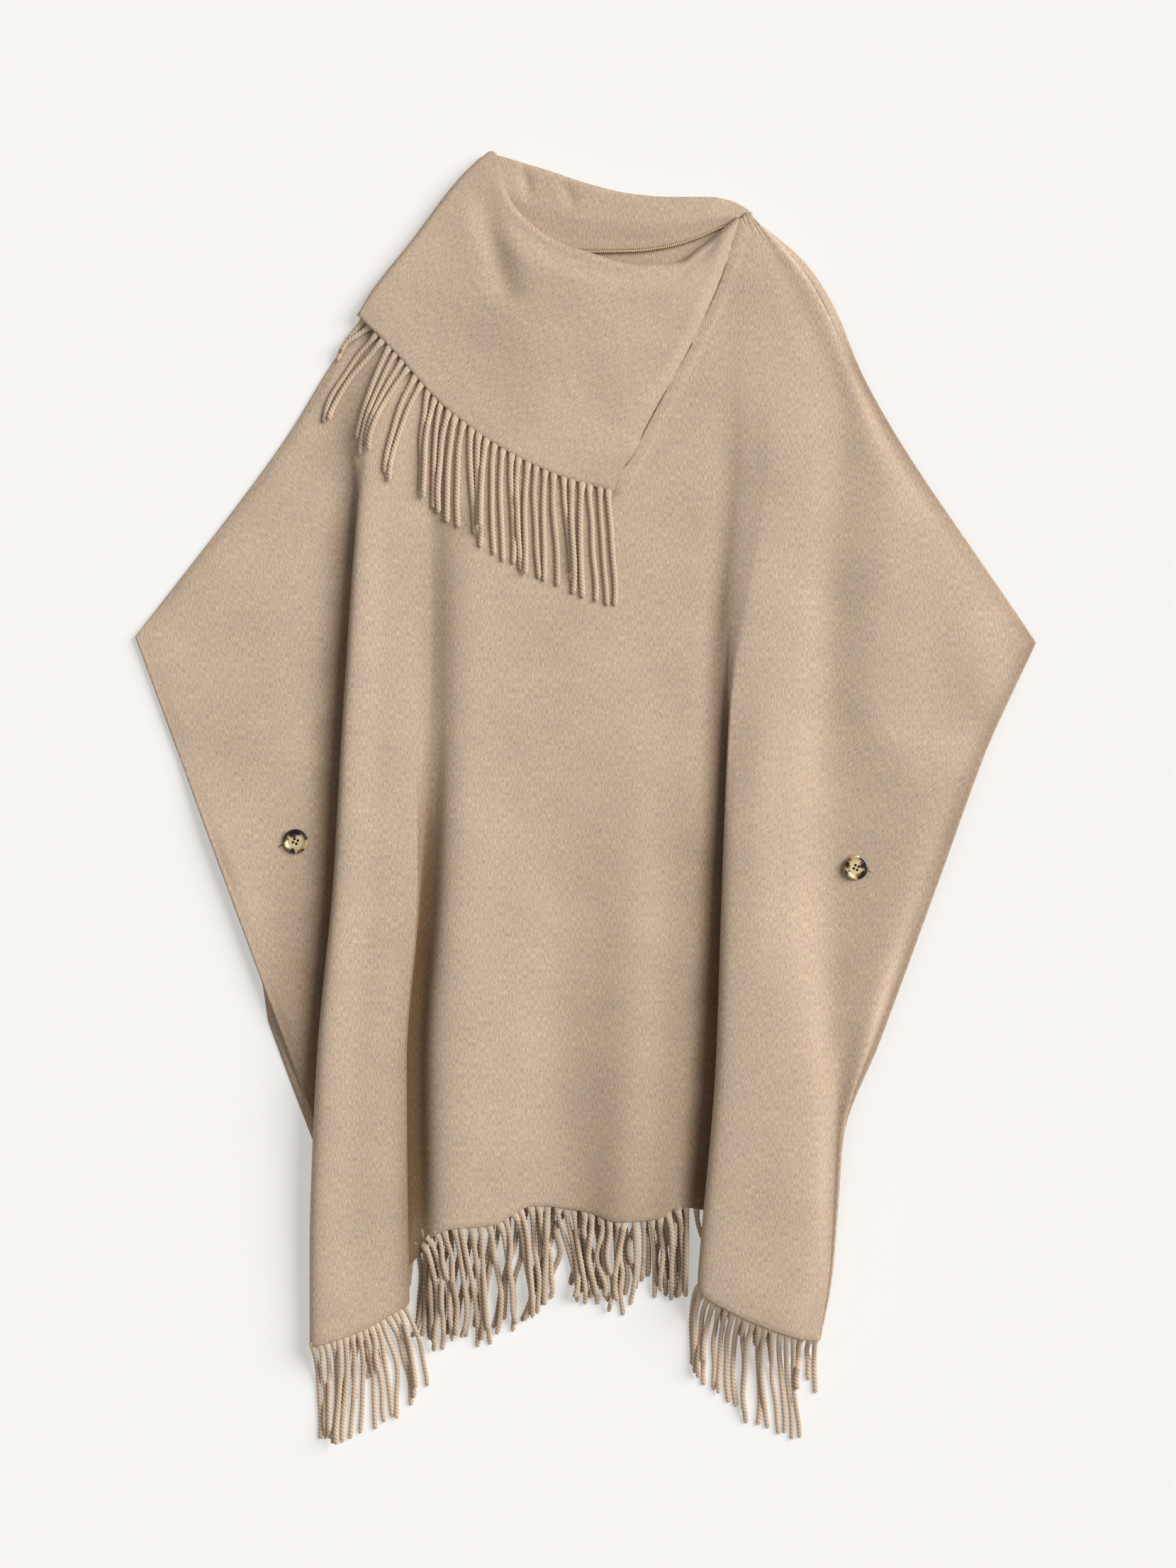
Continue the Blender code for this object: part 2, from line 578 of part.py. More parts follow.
def fringe_slab(hem, ends, rest, drop):
    """A slab's middle: from just below the hem (x, y, z) to the ends, sinking to rest over the
    share drop of its length. Its first row is level with the hem."""
    along_hem = np.concatenate([[0], np.cumsum(np.hypot(*np.diff(hem[:, :2], axis=0).T))])
    ends = along(metres(ends), along_hem / along_hem[-1])
    start = hem[:, :2] - FRINGE_GAP * outward(hem)
    way = np.array(FRINGE_ROWS)[:, None]
    plan = mix(start, ends, way[..., None])
    z = mix(hem[:, 2], rest, smooth(FRINGE_ROWS[1], drop, way))
    return np.concatenate([plan, z[..., None]], -1)


def button(name, x, y, tree, material, collection, cutters):
    """A turned button lying on the wing, with its four holes cut through."""
    r, t = BUTTON_RADIUS, BUTTON_THICKNESS
    profile = [(0, t - BUTTON_DISH), (r - 1.6 * BUTTON_RIM, t - BUTTON_DISH),
               (r - BUTTON_RIM, t - 0.35 * BUTTON_DISH), (r - 0.6 * BUTTON_RIM, t),
               (r - 0.2 * BUTTON_RIM, t - 0.3 * MM), (r, 0.6 * t), (r - 0.3 * MM, 0.3 * t),
               (r - 1.5 * MM, 0), (0, 0)]
    mesh = bpy.data.meshes.new(name)
    edges = [(k, k + 1) for k in range(len(profile) - 1)]
    mesh.from_pydata([(px, 0, pz) for px, pz in profile], edges, [])
    obj = add(name, mesh, material, collection)
    screw = obj.modifiers.new("turn", "SCREW")
    screw.steps = screw.render_steps = 40
    screw.use_merge_vertices = True
    screw.merge_threshold = 0.00001
    screw.use_smooth_shade = True
    # It lies on the cloth: level with the slope under it, and just clear of its highest place
    around = np.arange(16) * math.pi / 8
    dx, dy = r * np.cos(around), r * np.sin(around)
    under = surface_below(tree, x + dx, y + dy, 0)
    slope_x, slope_y = 2 * np.mean(under * dx) / r ** 2, 2 * np.mean(under * dy) / r ** 2
    lift = np.max(under - slope_x * dx - slope_y * dy) + GAP
    obj.location = (x, y, lift)
    obj.rotation_mode = "QUATERNION"
    obj.rotation_quaternion = Vector((0, 0, 1)).rotation_difference((-slope_x, -slope_y, 1))
    for k in range(4):
        turn = HOLE_TURN + k * math.pi / 2
        drill_mesh = bpy.data.meshes.new("hole")
        shape = bmesh.new()
        bmesh.ops.create_cone(shape, cap_ends=True, segments=12, radius1=HOLE_RADIUS,
                              radius2=HOLE_RADIUS, depth=3 * t)
        shape.to_mesh(drill_mesh)
        shape.free()
        drill = bpy.data.objects.new(f"hole_{name}_{k}", drill_mesh)
        drill.parent = obj
        drill.location = (HOLE_OFFSET * math.cos(turn), HOLE_OFFSET * math.sin(turn), 0.5 * t)
        drill.hide_render = True
        drill.display_type = "WIRE"
        cutters.objects.link(drill)
        cut = obj.modifiers.new(f"hole {k}", "BOOLEAN")
        cut.operation = "DIFFERENCE"
        cut.solver = "EXACT"
        cut.object = drill


def columns_between(first, last):
    """The front's columns from one named line to another."""
    names = [name for name, *_ in ACROSS]
    starts = np.concatenate([[0], np.cumsum([cells for *_, cells in ACROSS])])
    return slice(starts[names.index(first)], starts[names.index(last)] + 1)


def main():
    for obj in list(bpy.data.objects):
        bpy.data.objects.remove(obj)
    poncho = bpy.data.collections.new("wool_poncho")
    cutters = bpy.data.collections.new("cutters")
    for collection in (poncho, cutters):
        bpy.context.scene.collection.children.link(collection)
    wool = fabric("brushed_wool", (0.55, 0.43, 0.31), sheen=0.3)
    yarn = fabric("fringe_yarn", (0.50, 0.38, 0.27), sheen=0.2)
    horn = fabric("horn", (0.35, 0.25, 0.14), roughness=0.25)

    front = front_points()
    front_panel = cloth("front_panel", front, wool, poncho)
    back_collar = back_collar_points()
    cloth("collar_back", back_collar, wool, poncho)
    flat_plate("back_panel", back_outline(back_collar[-1]), CLOTH, wool, poncho)
    front_tree = tree_of(front_panel)
    collar = collar_points(front, front_tree)
    cloth("collar_front", collar, wool, poncho)

    # Hem fringe: the back's lies on the floor, the front's centre stretch on top of it
    hem = front[-1]
    back_hem = np.array([(x, y, 0.5 * CLOTH / MM) for x, y in BACK_HEM[4:11]]) * MM
    on_floor = 0.5 * SLAB + GAP
    on_back_fringe = CLOTH + GAP + 0.5 * SLAB
    stretches = [
        ("fringe_back", back_hem, ENDS_BACK, 0.5 * CLOTH, 1.0, CLOTH),
        ("fringe_left", hem[columns_between("crease_left", "brow_left")], ENDS_LEFT, on_floor,
         0.5, SLAB),
        ("fringe_center", hem[columns_between("flank_left", "descent")], ENDS_CENTER,
         on_back_fringe, 0.4, SLAB),
        ("fringe_right", hem[columns_between("crease_right", "ridge_right")], ENDS_RIGHT,
         on_floor, 0.5, SLAB),
    ]
    for name, edge, ends, rest, drop, thickness in stretches:
        cloth(name, fringe_slab(edge, ends, rest, drop), yarn, poncho, thickness)

    # Collar fringe: hangs from the scarf's end over the front's folds
    slab = fringe_slab(collar[-1, ROLL_STEPS:], ENDS_COLLAR, 0, 1)
    x, y, _z = np.moveaxis(slab, -1, 0)
    support = surface_below(front_tree, x, y, 7 * MM) + GAP + 0.5 * SLAB
    slab[..., 2] = settled(support, support, 8, np.ones(x.shape, bool))
    cloth("collar_fringe", slab, yarn, poncho, SLAB)

    for name, (x, y) in BUTTONS.items():
        button(name, x * MM, y * MM, front_tree, horn, poncho, cutters)


main()
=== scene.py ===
"""Wool poncho with a fringed scarf collar, laid flat with the front up: cloth, fringe and trims.

The neck points to +Y and the hem to -Y. Tables give millimetres, and everything made from them
is in metres. The cloth is an open surface of two parameters, across and down, which a Solidify
modifier gives its thickness. A strand of fringe is a profile carried along a path.
"""
import json
import math

import bpy
import numpy as np
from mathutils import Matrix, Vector
from mathutils.bvhtree import BVHTree

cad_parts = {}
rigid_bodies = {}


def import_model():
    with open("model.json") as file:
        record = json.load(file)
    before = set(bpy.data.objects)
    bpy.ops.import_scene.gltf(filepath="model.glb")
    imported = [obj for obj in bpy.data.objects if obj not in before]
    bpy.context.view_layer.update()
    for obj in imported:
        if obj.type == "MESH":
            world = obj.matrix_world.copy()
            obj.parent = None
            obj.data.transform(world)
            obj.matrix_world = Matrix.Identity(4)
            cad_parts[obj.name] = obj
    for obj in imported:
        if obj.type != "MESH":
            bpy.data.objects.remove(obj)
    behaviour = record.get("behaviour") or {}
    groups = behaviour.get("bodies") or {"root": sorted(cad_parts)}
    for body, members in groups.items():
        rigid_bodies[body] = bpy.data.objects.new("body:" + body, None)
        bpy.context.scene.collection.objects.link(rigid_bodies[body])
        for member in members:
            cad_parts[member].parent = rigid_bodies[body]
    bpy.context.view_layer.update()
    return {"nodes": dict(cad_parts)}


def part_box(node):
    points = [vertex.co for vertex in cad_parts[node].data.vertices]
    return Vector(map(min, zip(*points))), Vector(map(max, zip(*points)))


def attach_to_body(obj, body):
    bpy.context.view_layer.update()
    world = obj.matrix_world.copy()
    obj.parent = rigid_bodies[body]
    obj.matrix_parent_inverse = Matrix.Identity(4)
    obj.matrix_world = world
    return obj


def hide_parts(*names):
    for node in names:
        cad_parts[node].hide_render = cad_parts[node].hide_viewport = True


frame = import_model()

bl_info = {
    "name": "Wool poncho",
    "version": (1, 0, 0),
    "blender": (4, 5, 0),
    "location": "View3D > Sidebar > Poncho",
    "description": "Builds a laid-out wool poncho: cloth, scarf collar, fringe, buttons and stage",
    "category": "Object",
}

MM = 0.001
CLOTH = 2.0 * MM
GAP = 0.3 * MM                      # between a layer and the one that it lies on
LAY = 1.5 * CLOTH + GAP             # middle of a layer that lies on the back panel
MARGIN = 7.0 * MM                   # strip inside a side edge, which lifts or rolls down
ROLL_DOWN = 0.3                     # fall of a rolled side edge, in shares of that strip
WING_SWELL = 0.8 * MM               # of a wing's middle
TURN_RADIUS = 2.6 * MM              # of the cloth where a fold turns over
BROW = 3.5 * MM                     # from a crease to where the top of its fold levels out
WING_LIFT = {"left": 4.5 * MM, "right": 8.5 * MM}      # of the wings' lower edges
WING_RISE = 3.8 * MM                # the right wing lifts beyond its trough
SHOULDER_INSET = 8.5 * MM           # of the back's shoulders from the front's
SEAM_INSET = 8.0 * MM               # of the shoulder seam from the right outline
SEAM_BAND, SEAM_LINE = 0.7 * MM, 0.8 * MM       # height of the neck band, depth of that seam
SWELLS = 0.35 * MM                  # half the height of the low swells all over the front

# ---------------------------------------------------------------- tables of the front
LEVELS = np.array([470, 390, 300, 70, -70, -215, -380, -440]) * MM
LINES = {
    #                470   390   300    70   -70  -215  -380  -440
    "crease_left": (-70, -154, -176, -195, -203, -216, -222, -222),
    "lip_left": (-58, -118, -134, -135, -135, -145, -143.5, -140.5),
    "groove_left": (-50, -108, -123, -124, -134, -146.2, -144.7, -141.7),
    "bank_left": (-42, -95, -103, -103, -101, -109, -109, -107),
    "crest_left": (-30, -61, -64, -64, -62, -60, -78, -78),
    "shelf": (-8, -24, -26, -26, -24, -26, -45, -45),
    "trough": (20, 11, 7, 3, 4, 3, 1, 1),
    "crest_right": (51, 49, 48, 44, 40, 34, 24, 22),
    "descent": (100, 91, 91, 84, 73, 66, 56, 52),
    "groove_right": (114, 116, 118, 104, 102, 95, 81, 77),
    "crease_right": (122, 138, 146, 117, 111, 106, 92, 88),
    "ridge_right": (130, 160, 180, 168, 162, 179, 187, 179),
    "trough_right": (134, 178, 207, 200, 206, 203, 197, 188),
}
HEIGHTS = {
    #             470 390 300 70 -70 -215 -380 -440
    "top_left": (5, 7, 12.5, 17.2, 18.8, 21.5, 16.5, 15),
    "lip_left": (5, 6, 11, 11.3, 17, 21, 16.5, 15),
    "groove_left": (5, 5.5, 10.3, 10.2, 5.5, 3.4, 3.4, 3.4),
    "bank_left": (5, 6, 12, 15.2, 15.5, 15.6, 10.8, 10.5),
    "crest_left": (5, 6, 11.8, 14.2, 13.6, 13.2, 9.9, 9.5),
    "shelf": (5, 6, 10.5, 13, 11.6, 11, 8.9, 8.6),
    "trough": (5, 6, 10.5, 12.8, 11.8, 12, 11.2, 10.6),
    "crest_right": (6, 7, 10.5, 12.4, 12.5, 12.8, 13.4, 12.8),
    "descent": (6, 7, 10.4, 11.4, 9.6, 10, 10.4, 10),
    "groove_right": (6, 6.5, 10.2, 9.6, 7.6, 6.8, 5.6, 5.4),
    "top_right": (6, 6.8, 12.6, 18.6, 23.2, 26.5, 26, 24),
    "ridge_right": (6, 6.8, 11.6, 16, 20, 25.3, 25, 23),
    "trough_right": (6, 6, 9.2, 9.5, 9, 18, 19.5, 18),
}
TUCKS = {
    "left": (0, 0, 14, 28, 36, 42, 48, 48),
    "right": (0, 0, 0, 12, 26, 38, 42, 42),
}
FOLDS_OVER = {"left": (320, 190), "right": (160, -30)}     # y from which a fold turns over
# Where the groove's bank stands on the left, in shares (of x, of z) of the way from groove to
# bank: where the fold is gentle, and where it is firm
GROOVE_SIDE = {"foot_left": ((0.3, 0.25), (0.38, 0.03)),
               "flank_left": ((0.6, 0.68), (0.61, 0.7))}
# Broad shade beside a line: where its middle lies from the line, how far it reaches to the left
# and to the right of that, and how deep it is at the levels
SHADES = [
    #                                470 390 300  70  -70  -215  -380  -440
    ("groove_right", -22, 36, 30, (0, 0, 0, 0.04, 0.24, 0.3, 0.46, 0.36)),
    ("groove_right", 3, 15, 16, (0, 0, 0.1, 0.46, 0.6, 0.5, 0.5, 0.45)),
    ("trough", 13, 48, 44, (0, 0, 0, 0, 0.12, 0.28, 0.5, 0.44)),
    ("groove_left", 10, 24, 26, (0, 0, 0.05, 0.24, 0.2, 0.45, 0.62, 0.55)),
    ("crease_left", -1, 24, 4, (0, 0, 0.08, 0.66, 0.58, 0.45, 0, 0)),
    ("crease_left", -26, 44, 27, (0, 0, 0, 0, 0.22, 0.5, 0.1, 0)),
]
TIP_LEFT = (-365.0, 129.4)
TIP_RIGHT = (365.0, 124.8)
SHOULDER_LEFT = [(-107, 454), (-190, 373), (-245, 287.5), TIP_LEFT]
SHOULDER_RIGHT = [(130, 472.6), (178, 433), (200, 399.6), (225, 341), TIP_RIGHT]
SIDE_LEFT = [TIP_LEFT, (-218, -269), (-196, -420)]
SIDE_RIGHT = [TIP_RIGHT, (322.6, 33), (287.5, -63), (238, -198), (209, -274), (204.7, -321),
              (198, -389), (188.6, -438)]
NECK_BOTTOM = (31.5, 264.0)
NECK_LEFT = [(-107, 454), (-60, 410), (-15, 340), (14, 280), NECK_BOTTOM]
NECK_SEAM = [NECK_BOTTOM, (54.6, 310), (85, 366), (110, 422), (126, 468), (130, 472.6)]
# Across a section, left to right: the hem's y below each point, and the cells that follow it
ACROSS = [
    ("side_left", -417, 4), ("margin_left", -418, 6), ("wing_left", -419, 12),
    ("run_in_left", -422, 5), ("turn_left", -424, 5), ("run_back_left", -427, 6),
    ("under_left", -436, 8), ("crease_left", -445, 8), ("shoulder_left", -444, 8),
    ("top_left", -432, 8), ("edge_left", -412, 3), ("brow_left", -410, 5), ("lip_left", -399, 7),
    ("groove_left", -384, 5), ("foot_left", -368, 4), ("flank_left", -356, 5),
    ("bank_left", -350, 7),
    ("crest_left", -347, 10),
    ("shelf", -331, 10), ("trough", -336, 12), ("crest_right", -344, 12),
    ("descent", -342, 8), ("groove_right", -333, 6), ("run_in_right", -350, 4),
    ("turn_right", -355, 5), ("run_back_right", -362, 6), ("under_right", -380, 8),
    ("crease_right", -392, 8), ("shoulder_right", -402, 12), ("top_right", -424, 10),
    ("ridge_right", -438, 10), ("trough_right", -438.5, 10), ("wing_right", -438.6, 10),
    ("margin_right", -438.7, 4), ("side_right", -438.8, 0),
]
ROWS_ABOVE_TIPS = 62
ROWS_BELOW_TIPS = 116

CELL = 4 * MM                       # of the level grid on which hollows are found
HOLLOW = 7                          # cells to each side over which heights are averaged

# ---------------------------------------------------------------- tables of the other pieces
# Soft troughs: start, end, width, and depth in mm (or, for scarf_shade, how much darker its painted
# shade is)
DENTS = {
    "front": [((306, 150), (336, 42), 20, -3.4)],
    "scarf_front": [((-87, 491), (-61, 399), 10, 2.6)],
    "scarf_back": [((-52, 512), (-44, 484), 5, 1.5), ((-20, 500), (-8, 476), 6, 1.3)],
    "scarf_shade": [((-84, 512), (-50, 400), 8, 0.24), ((-72, 410), (-40, 290), 28, 0.15)],
}
# Lines of the collar and of the back: x, y and, for the collar, height
RIM = [(-76, 519, 11), (-67.5, 486, 13), (-51.8, 464.3, 14.5), (-26.6, 446.3, 15.5),
       (2.6, 435.4, 16), (38, 426.3, 15), (73.8, 426.8, 13), (91.4, 438, 11),
       (109, 452, 8.5), (125, 467.5, 6.2)]
COLLAR_SIDE = [(-76, 519, 11), (-96, 500, 11), (-139.5, 444, 10.5), (-166, 411, 10.5),
               (-183, 388, 9)]
COLLAR_END = [(-183, 388, 9), (-155, 360, 9), (-113, 314, 9), (-62, 278, 12), (-13, 256, 14),
              (22.5, 246.5, 14)]
SCARF_CORNER = (22.5, 246.5, 14)
SEAM_TOP = (125, 467.5)
SEAM_GAP = -0.7 * MM                # the collar just covers the edge it is sewn to
ROLLS = {
    # radius, length of the straight tail; share of a half turn at the first end, and where it
    # grows; the same at the last end; share of the tail at both ends, where it grows and shrinks
    "rim": (4.2, 14, 0.25, (0, 0.15), 0.2, (0.8, 1), 0.1, (0.12, 0.3), (0.82, 0.6)),
    "side": (4.2, 5, 0.25, (0, 0.15), 0.1, (0.7, 1), 0.25, (0.12, 0.3), (0.75, 0.55)),
    "back": (3, 10, 0, (-0.1, 0.2), 0.4, (0.85, 1), 0.1, (0.18, 0.35), (0.85, 0.7)),
}
ROLL_STEPS = 14
COLLAR_CELLS = (18, 14)             # of the coarse grid that is let down onto the front
BACK_COLLAR_POINTS = (120, 26)
RIM_HOLLOW = 3.4 * MM               # how much lower the scarf lies at its rim
BACK_SEAM = [(-74, 478, 3), (-40, 450, 3.4), (4, 442.5, 3.4), (37, 443, 3.4), (68, 447, 3.4),
             (92, 454.5, 3.2), (111, 462.5, 2.6), (130, 466.5, 1.6)]
BACK_CREST = [(-77, 517.5, 7), (-31, 503.5, 7.4), (2, 492.5, 7.8), (37, 484.5, 7.6),
              (68, 482, 7.6), (100, 482, 7.4), (116, 479.5, 5.5), (134, 470.5, 3.2)]
BACK_SIDE_LEFT = [(-362, 124), (-263, -145), (-257.5, -182), (-234.6, -244), (-218, -287),
                  (-214, -300), (-212, -438)]
BACK_HEM = [(-212, -438), (-190, -431), (-165, -416), (-142, -397), (-137, -347), (-75, -343),
            (-45, -327), (0, -326), (25, -337), (70, -336), (80, -327), (96, -329), (98, -385),
            (125, -412), (150, -425), (186, -435)]

# Strands of fringe, and where each one ends, left to right
STRAND = 4.5 * MM                   # width
STRAND_CORNERS = 10
ROOT_INSET = 4.0 * MM               # how far inside the cloth's edge a strand starts
PITCH = 6.4 * MM                    # one whole turn of a strand's twist
FLATNESS = 0.6                      # height of a laid strand's section to its width
CLEARANCE = 0.1 * MM                # between a strand and what it lies on
HELD = 0.07                         # share of a strand that its root holds up
RELAX_PASSES = 160
TIPS = {
    "collar_fringe": [
        (-200.5, 353), (-197, 360), (-211.5, 303), (-207.5, 305), (-184.6, 289.5), (-182, 277),
        (-177, 284), (-174.8, 279.5), (-161.7, 261.5), (-158.4, 255), (-132.8, 248),
        (-131, 241), (-123, 233.5), (-118.7, 229.5), (-111.7, 222), (-102.8, 217.5),
        (-89.2, 212), (-87, 219.5), (-84.5, 201.5), (-73.6, 195.5), (-66.4, 190), (-58.3, 188),
        (-52.1, 183), (-48.5, 179.5), (-37.4, 176.5), (-33.1, 174), (-22.5, 170.5),
        (-10.8, 182), (-9.7, 164), (-2.1, 161), (8.5, 158), (17.5, 154.5), (23.7, 154.5)],
    "fringe_left": [
        (-215, -520.5), (-211, -520.5), (-207.6, -519.9), (-205, -523.5), (-201.8, -524),
        (-197.1, -523.5), (-190.8, -520.5), (-182.6, -516), (-170.5, -512.8), (-163, -507),
        (-156.5, -503), (-153, -504), (-141.5, -493.3), (-139, -487), (-137.3, -478.5),
        (-128.5, -478)],
    "fringe_center": [
        (-123, -449.5), (-116, -448.5), (-108, -441), (-105, -436), (-101.3, -438),
        (-87.5, -446), (-84, -440), (-77, -444), (-72.3, -435.5), (-59, -433.5), (-56, -427),
        (-49.7, -424), (-43.2, -422), (-39.2, -419), (-28.7, -407), (-33.2, -412),
        (-7, -409.5), (-9.5, -405), (-0.5, -411.5), (4, -406), (10, -411.5), (15.5, -404),
        (18.9, -417.5), (30.2, -420.5), (26, -408), (36.2, -412), (45.2, -393), (56, -406.5),
        (61, -400.5), (69.4, -408), (75, -404.5), (81, -404.5)],
    "fringe_right": [
        (86.5, -461), (88.4, -467), (91.4, -471), (96.1, -477), (104, -481), (107.8, -483.5),
        (116.2, -491), (122.3, -494.5), (128.2, -497.5), (130.5, -507.8), (139.6, -509.2),
        (148, -512), (156.5, -516.8), (161.2, -515.8), (167.2, -520.9), (173.5, -519.7),
        (172, -480), (181, -473), (186.4, -483.6)],
    "fringe_back": [
        (-141, -438), (-137.5, -430), (-132, -432), (-126, -440), (-120, -428),
        (-112, -436), (-104, -424), (-97, -438),
        (-90, -430), (-83, -421), (-75, -431), (-66, -424), (-58, -418), (-52, -425),
        (-44, -408), (-36, -412), (-26, -398), (-12, -396), (-3, -401), (8, -398), (16, -406),
        (24, -396), (32, -404), (41, -399), (50, -389), (57, -397), (66, -392), (73, -399),
        (79, -396)],
}
# Painted shade for the rows of strands that lie lower, under the folds and the rows above
STRAND_SHADES = {"fringe_back": -2.4, "fringe_center": -0.9}    # the rows that lie lower
# Strands that fill in behind those, or that a fold hides in part
TUCKED_TIPS = {
    "fringe_back_left": [(-133, -437), (-124, -441), (-115, -431), (-107, -437), (-96, -430)],
    "fringe_back_middle": [(-4, -402), (4, -406), (12, -399), (19, -409), (27, -402)],
    "fringe_back_right": [(61, -399), (65, -405), (70, -397), (74, -406), (77.5, -399),
                          (81, -404)],
    "fringe_left": [(-194.7, -499), (-186, -488), (-176, -472), (-167, -463)],
    "fringe_right": [(110.5, -434.6), (118.1, -428), (125.1, -437), (137.4, -445),
                     (150.3, -459)],
}
NECK_STITCHES = 84
NECK_STITCHES_FROM = -12 * MM       # x at which they come out from under the scarf
NECK_STITCHES_OFF = (0.1, -0.9, 0.3)            # from the back collar's seam
# Short rows of stitches on the front: ends, number of stitches and their radius
STITCHES = {"buttonhole": ((-244, -38.2), (-248.4, -40.6), 4, 0.75),
            "thread_end": ((229.5, -59), (232, -61), 2, 0.8)}
# The buttonhole's edging is the yarn darkened: partly its own thread, partly painted shade of the
# slit
BUTTONHOLE_SHADE = 0.22              # of its edging, in shares of the yarn's
HOLE_OFFSET = 0.21                  # of a button's holes from its middle, in shares of its radius
HOLE_TURN = math.radians(20)
BUTTONS = {
    # name: middle and half width of the black part of the rim (degrees), then clouds as
    # (tone, x, y, size) in shares of the radius
    "button_left": ((95, 88), [
        ("black", -0.2, 0.6, 0.3), ("black", 0.2, 0.66, 0.2), ("brown", -0.7, 0.26, 0.12),
        ("black", -0.26, -0.86, 0.22), ("brown", -0.58, -0.7, 0.14), ("brown", 0.3, -0.88, 0.14),
        ("black", 0.6, -0.74, 0.15)]),
    "button_right": ((-4, 78), [
        ("black", 0.62, 0.14, 0.26), ("black", 0.6, -0.54, 0.24), ("brown", 0.48, 0.3, 0.12),
        ("black", -0.78, 0.26, 0.2), ("brown", -0.78, 0.1, 0.16), ("black", -0.76, -0.38, 0.16),
        ("brown", 0.18, -0.7, 0.16), ("brown", -0.54, 0.66, 0.1)]),
}


# ---------------------------------------------------------------- curves and sheets
def smooth(edge_0, edge_1, value):
    """3t^2 - 2t^3, where t runs from 0 at edge_0 to 1 at edge_1."""
    t = np.clip((value - edge_0) / (edge_1 - edge_0), 0.0, 1.0)
    return t * t * (3.0 - 2.0 * t)


def smooth_mm(edge_0, edge_1, value):
    """smooth() with its edges in millimetres."""
    return smooth(edge_0 * MM, edge_1 * MM, value)


def metres(table):
    """A table of millimetres, in metres."""
    return np.array(table, float) * MM


def mix(a, b, share):
    """a + share (b - a)."""
    return a + (b - a) * share


def summed(steps, axis=0):
    """Running sum of steps along an axis, from 0."""
    return np.insert(np.cumsum(steps, axis), 0, 0, axis)


def run_of(points):
    """Length along a line of points, at each of them."""
    return summed(np.linalg.norm(np.diff(points, axis=0), axis=1))


def spaced(points, shares):
    """Points on a line of straight steps, at shares of its length."""
    run = run_of(points)
    return np.stack([np.interp(shares, run / run[-1], column) for column in points.T], -1)


def unit(vectors):
    """Each vector over its own length."""
    return vectors / np.maximum(np.linalg.norm(vectors, axis=-1, keepdims=True), 1e-12)


def through(stations, values, at):
    """Cubic Hermite curve through values at rising or falling stations. A tangent is the
    weighted harmonic mean of the slopes beside it, or 0 at a turn, so it never overshoots."""
    x = np.asarray(stations, float)
    v = np.asarray(values, float)
    if x[0] > x[-1]:
        x, v = x[::-1], v[::-1]
    step = np.diff(x)
    slope = np.diff(v) / step
    before, after = slope[:-1], slope[1:]
    same_way = before * after > 0
    near, far = step[:-1] + 2 * step[1:], 2 * step[:-1] + step[1:]
    blend = near / np.where(same_way, before, 1) + far / np.where(same_way, after, 1)
    inner = np.where(same_way, (near + far) / np.where(same_way, blend, 1), 0)
    tangent = np.concatenate([[slope[0]], inner, [slope[-1]]])
    at = np.clip(at, x[0], x[-1])
    k = np.clip(np.searchsorted(x, at, side="right") - 1, 0, len(x) - 2)
    t = (at - x[k]) / step[k]
    rise = (tangent[k] * t * (1 - t) ** 2 + tangent[k + 1] * t * t * (t - 1)) * step[k]
    return mix(v[k], v[k + 1], t * t * (3 - 2 * t)) + rise


def at_levels(table, y):
    """The smooth curve through a table's millimetres at the levels, at the places y."""
    return through(LEVELS, metres(table), y)


def by_height(points):
    """A table of x and y in metres, sorted by y."""
    table = metres(points)
    return table[np.argsort(table[:, 1])]


def left_outline(y):
    """x of the front's left outline: a curve down the shoulder, then straight to the hem."""
    side, shoulder = by_height(SIDE_LEFT), by_height(SHOULDER_LEFT)
    return np.where(y > TIP_LEFT[1] * MM, through(shoulder[:, 1], shoulder[:, 0], y),
                    np.interp(y, side[:, 1], side[:, 0]))


def right_outline(y):
    """x of the front's right outline: a curve down the shoulder and one down the side."""
    side, shoulder = by_height(SIDE_RIGHT), by_height(SHOULDER_RIGHT)
    return np.where(y > TIP_RIGHT[1] * MM, through(shoulder[:, 1], shoulder[:, 0], y),
                    through(side[:, 1], side[:, 0], y))


def z_fold(approach, turn, crease, low, top, over, lean):
    """Points of a fold, from the layer it stands on to its crease: {suffix: (x, z)}.

    Each is a mean, weighted by over, of a point on a plain slope and one of a Z: in to the
    turn, back above itself and up at the crease, which stands at the share lean of the top."""
    back = turn - 1.5 * TURN_RADIUS
    back_height = LAY + 2 * TURN_RADIUS
    slope = {share: (mix(approach, crease, share), mix(low, top, 0.9 * share))
             for share in (0.3, 0.45, 0.55, 0.7, 1.0)}
    folded = {
        0.3: (back, LAY),
        0.45: (turn, LAY + TURN_RADIUS),
        0.55: (back, back_height),
        0.7: (mix(crease, turn, 0.4), mix(back_height, top, lean - 0.3)),
        1.0: (crease, mix(back_height, top, lean)),
    }
    names = ("run_in", "turn", "run_back", "under", "crease")
    return {name: tuple(mix(a, b, over) for a, b in zip(slope[share], folded[share]))
            for name, share in zip(names, slope)}


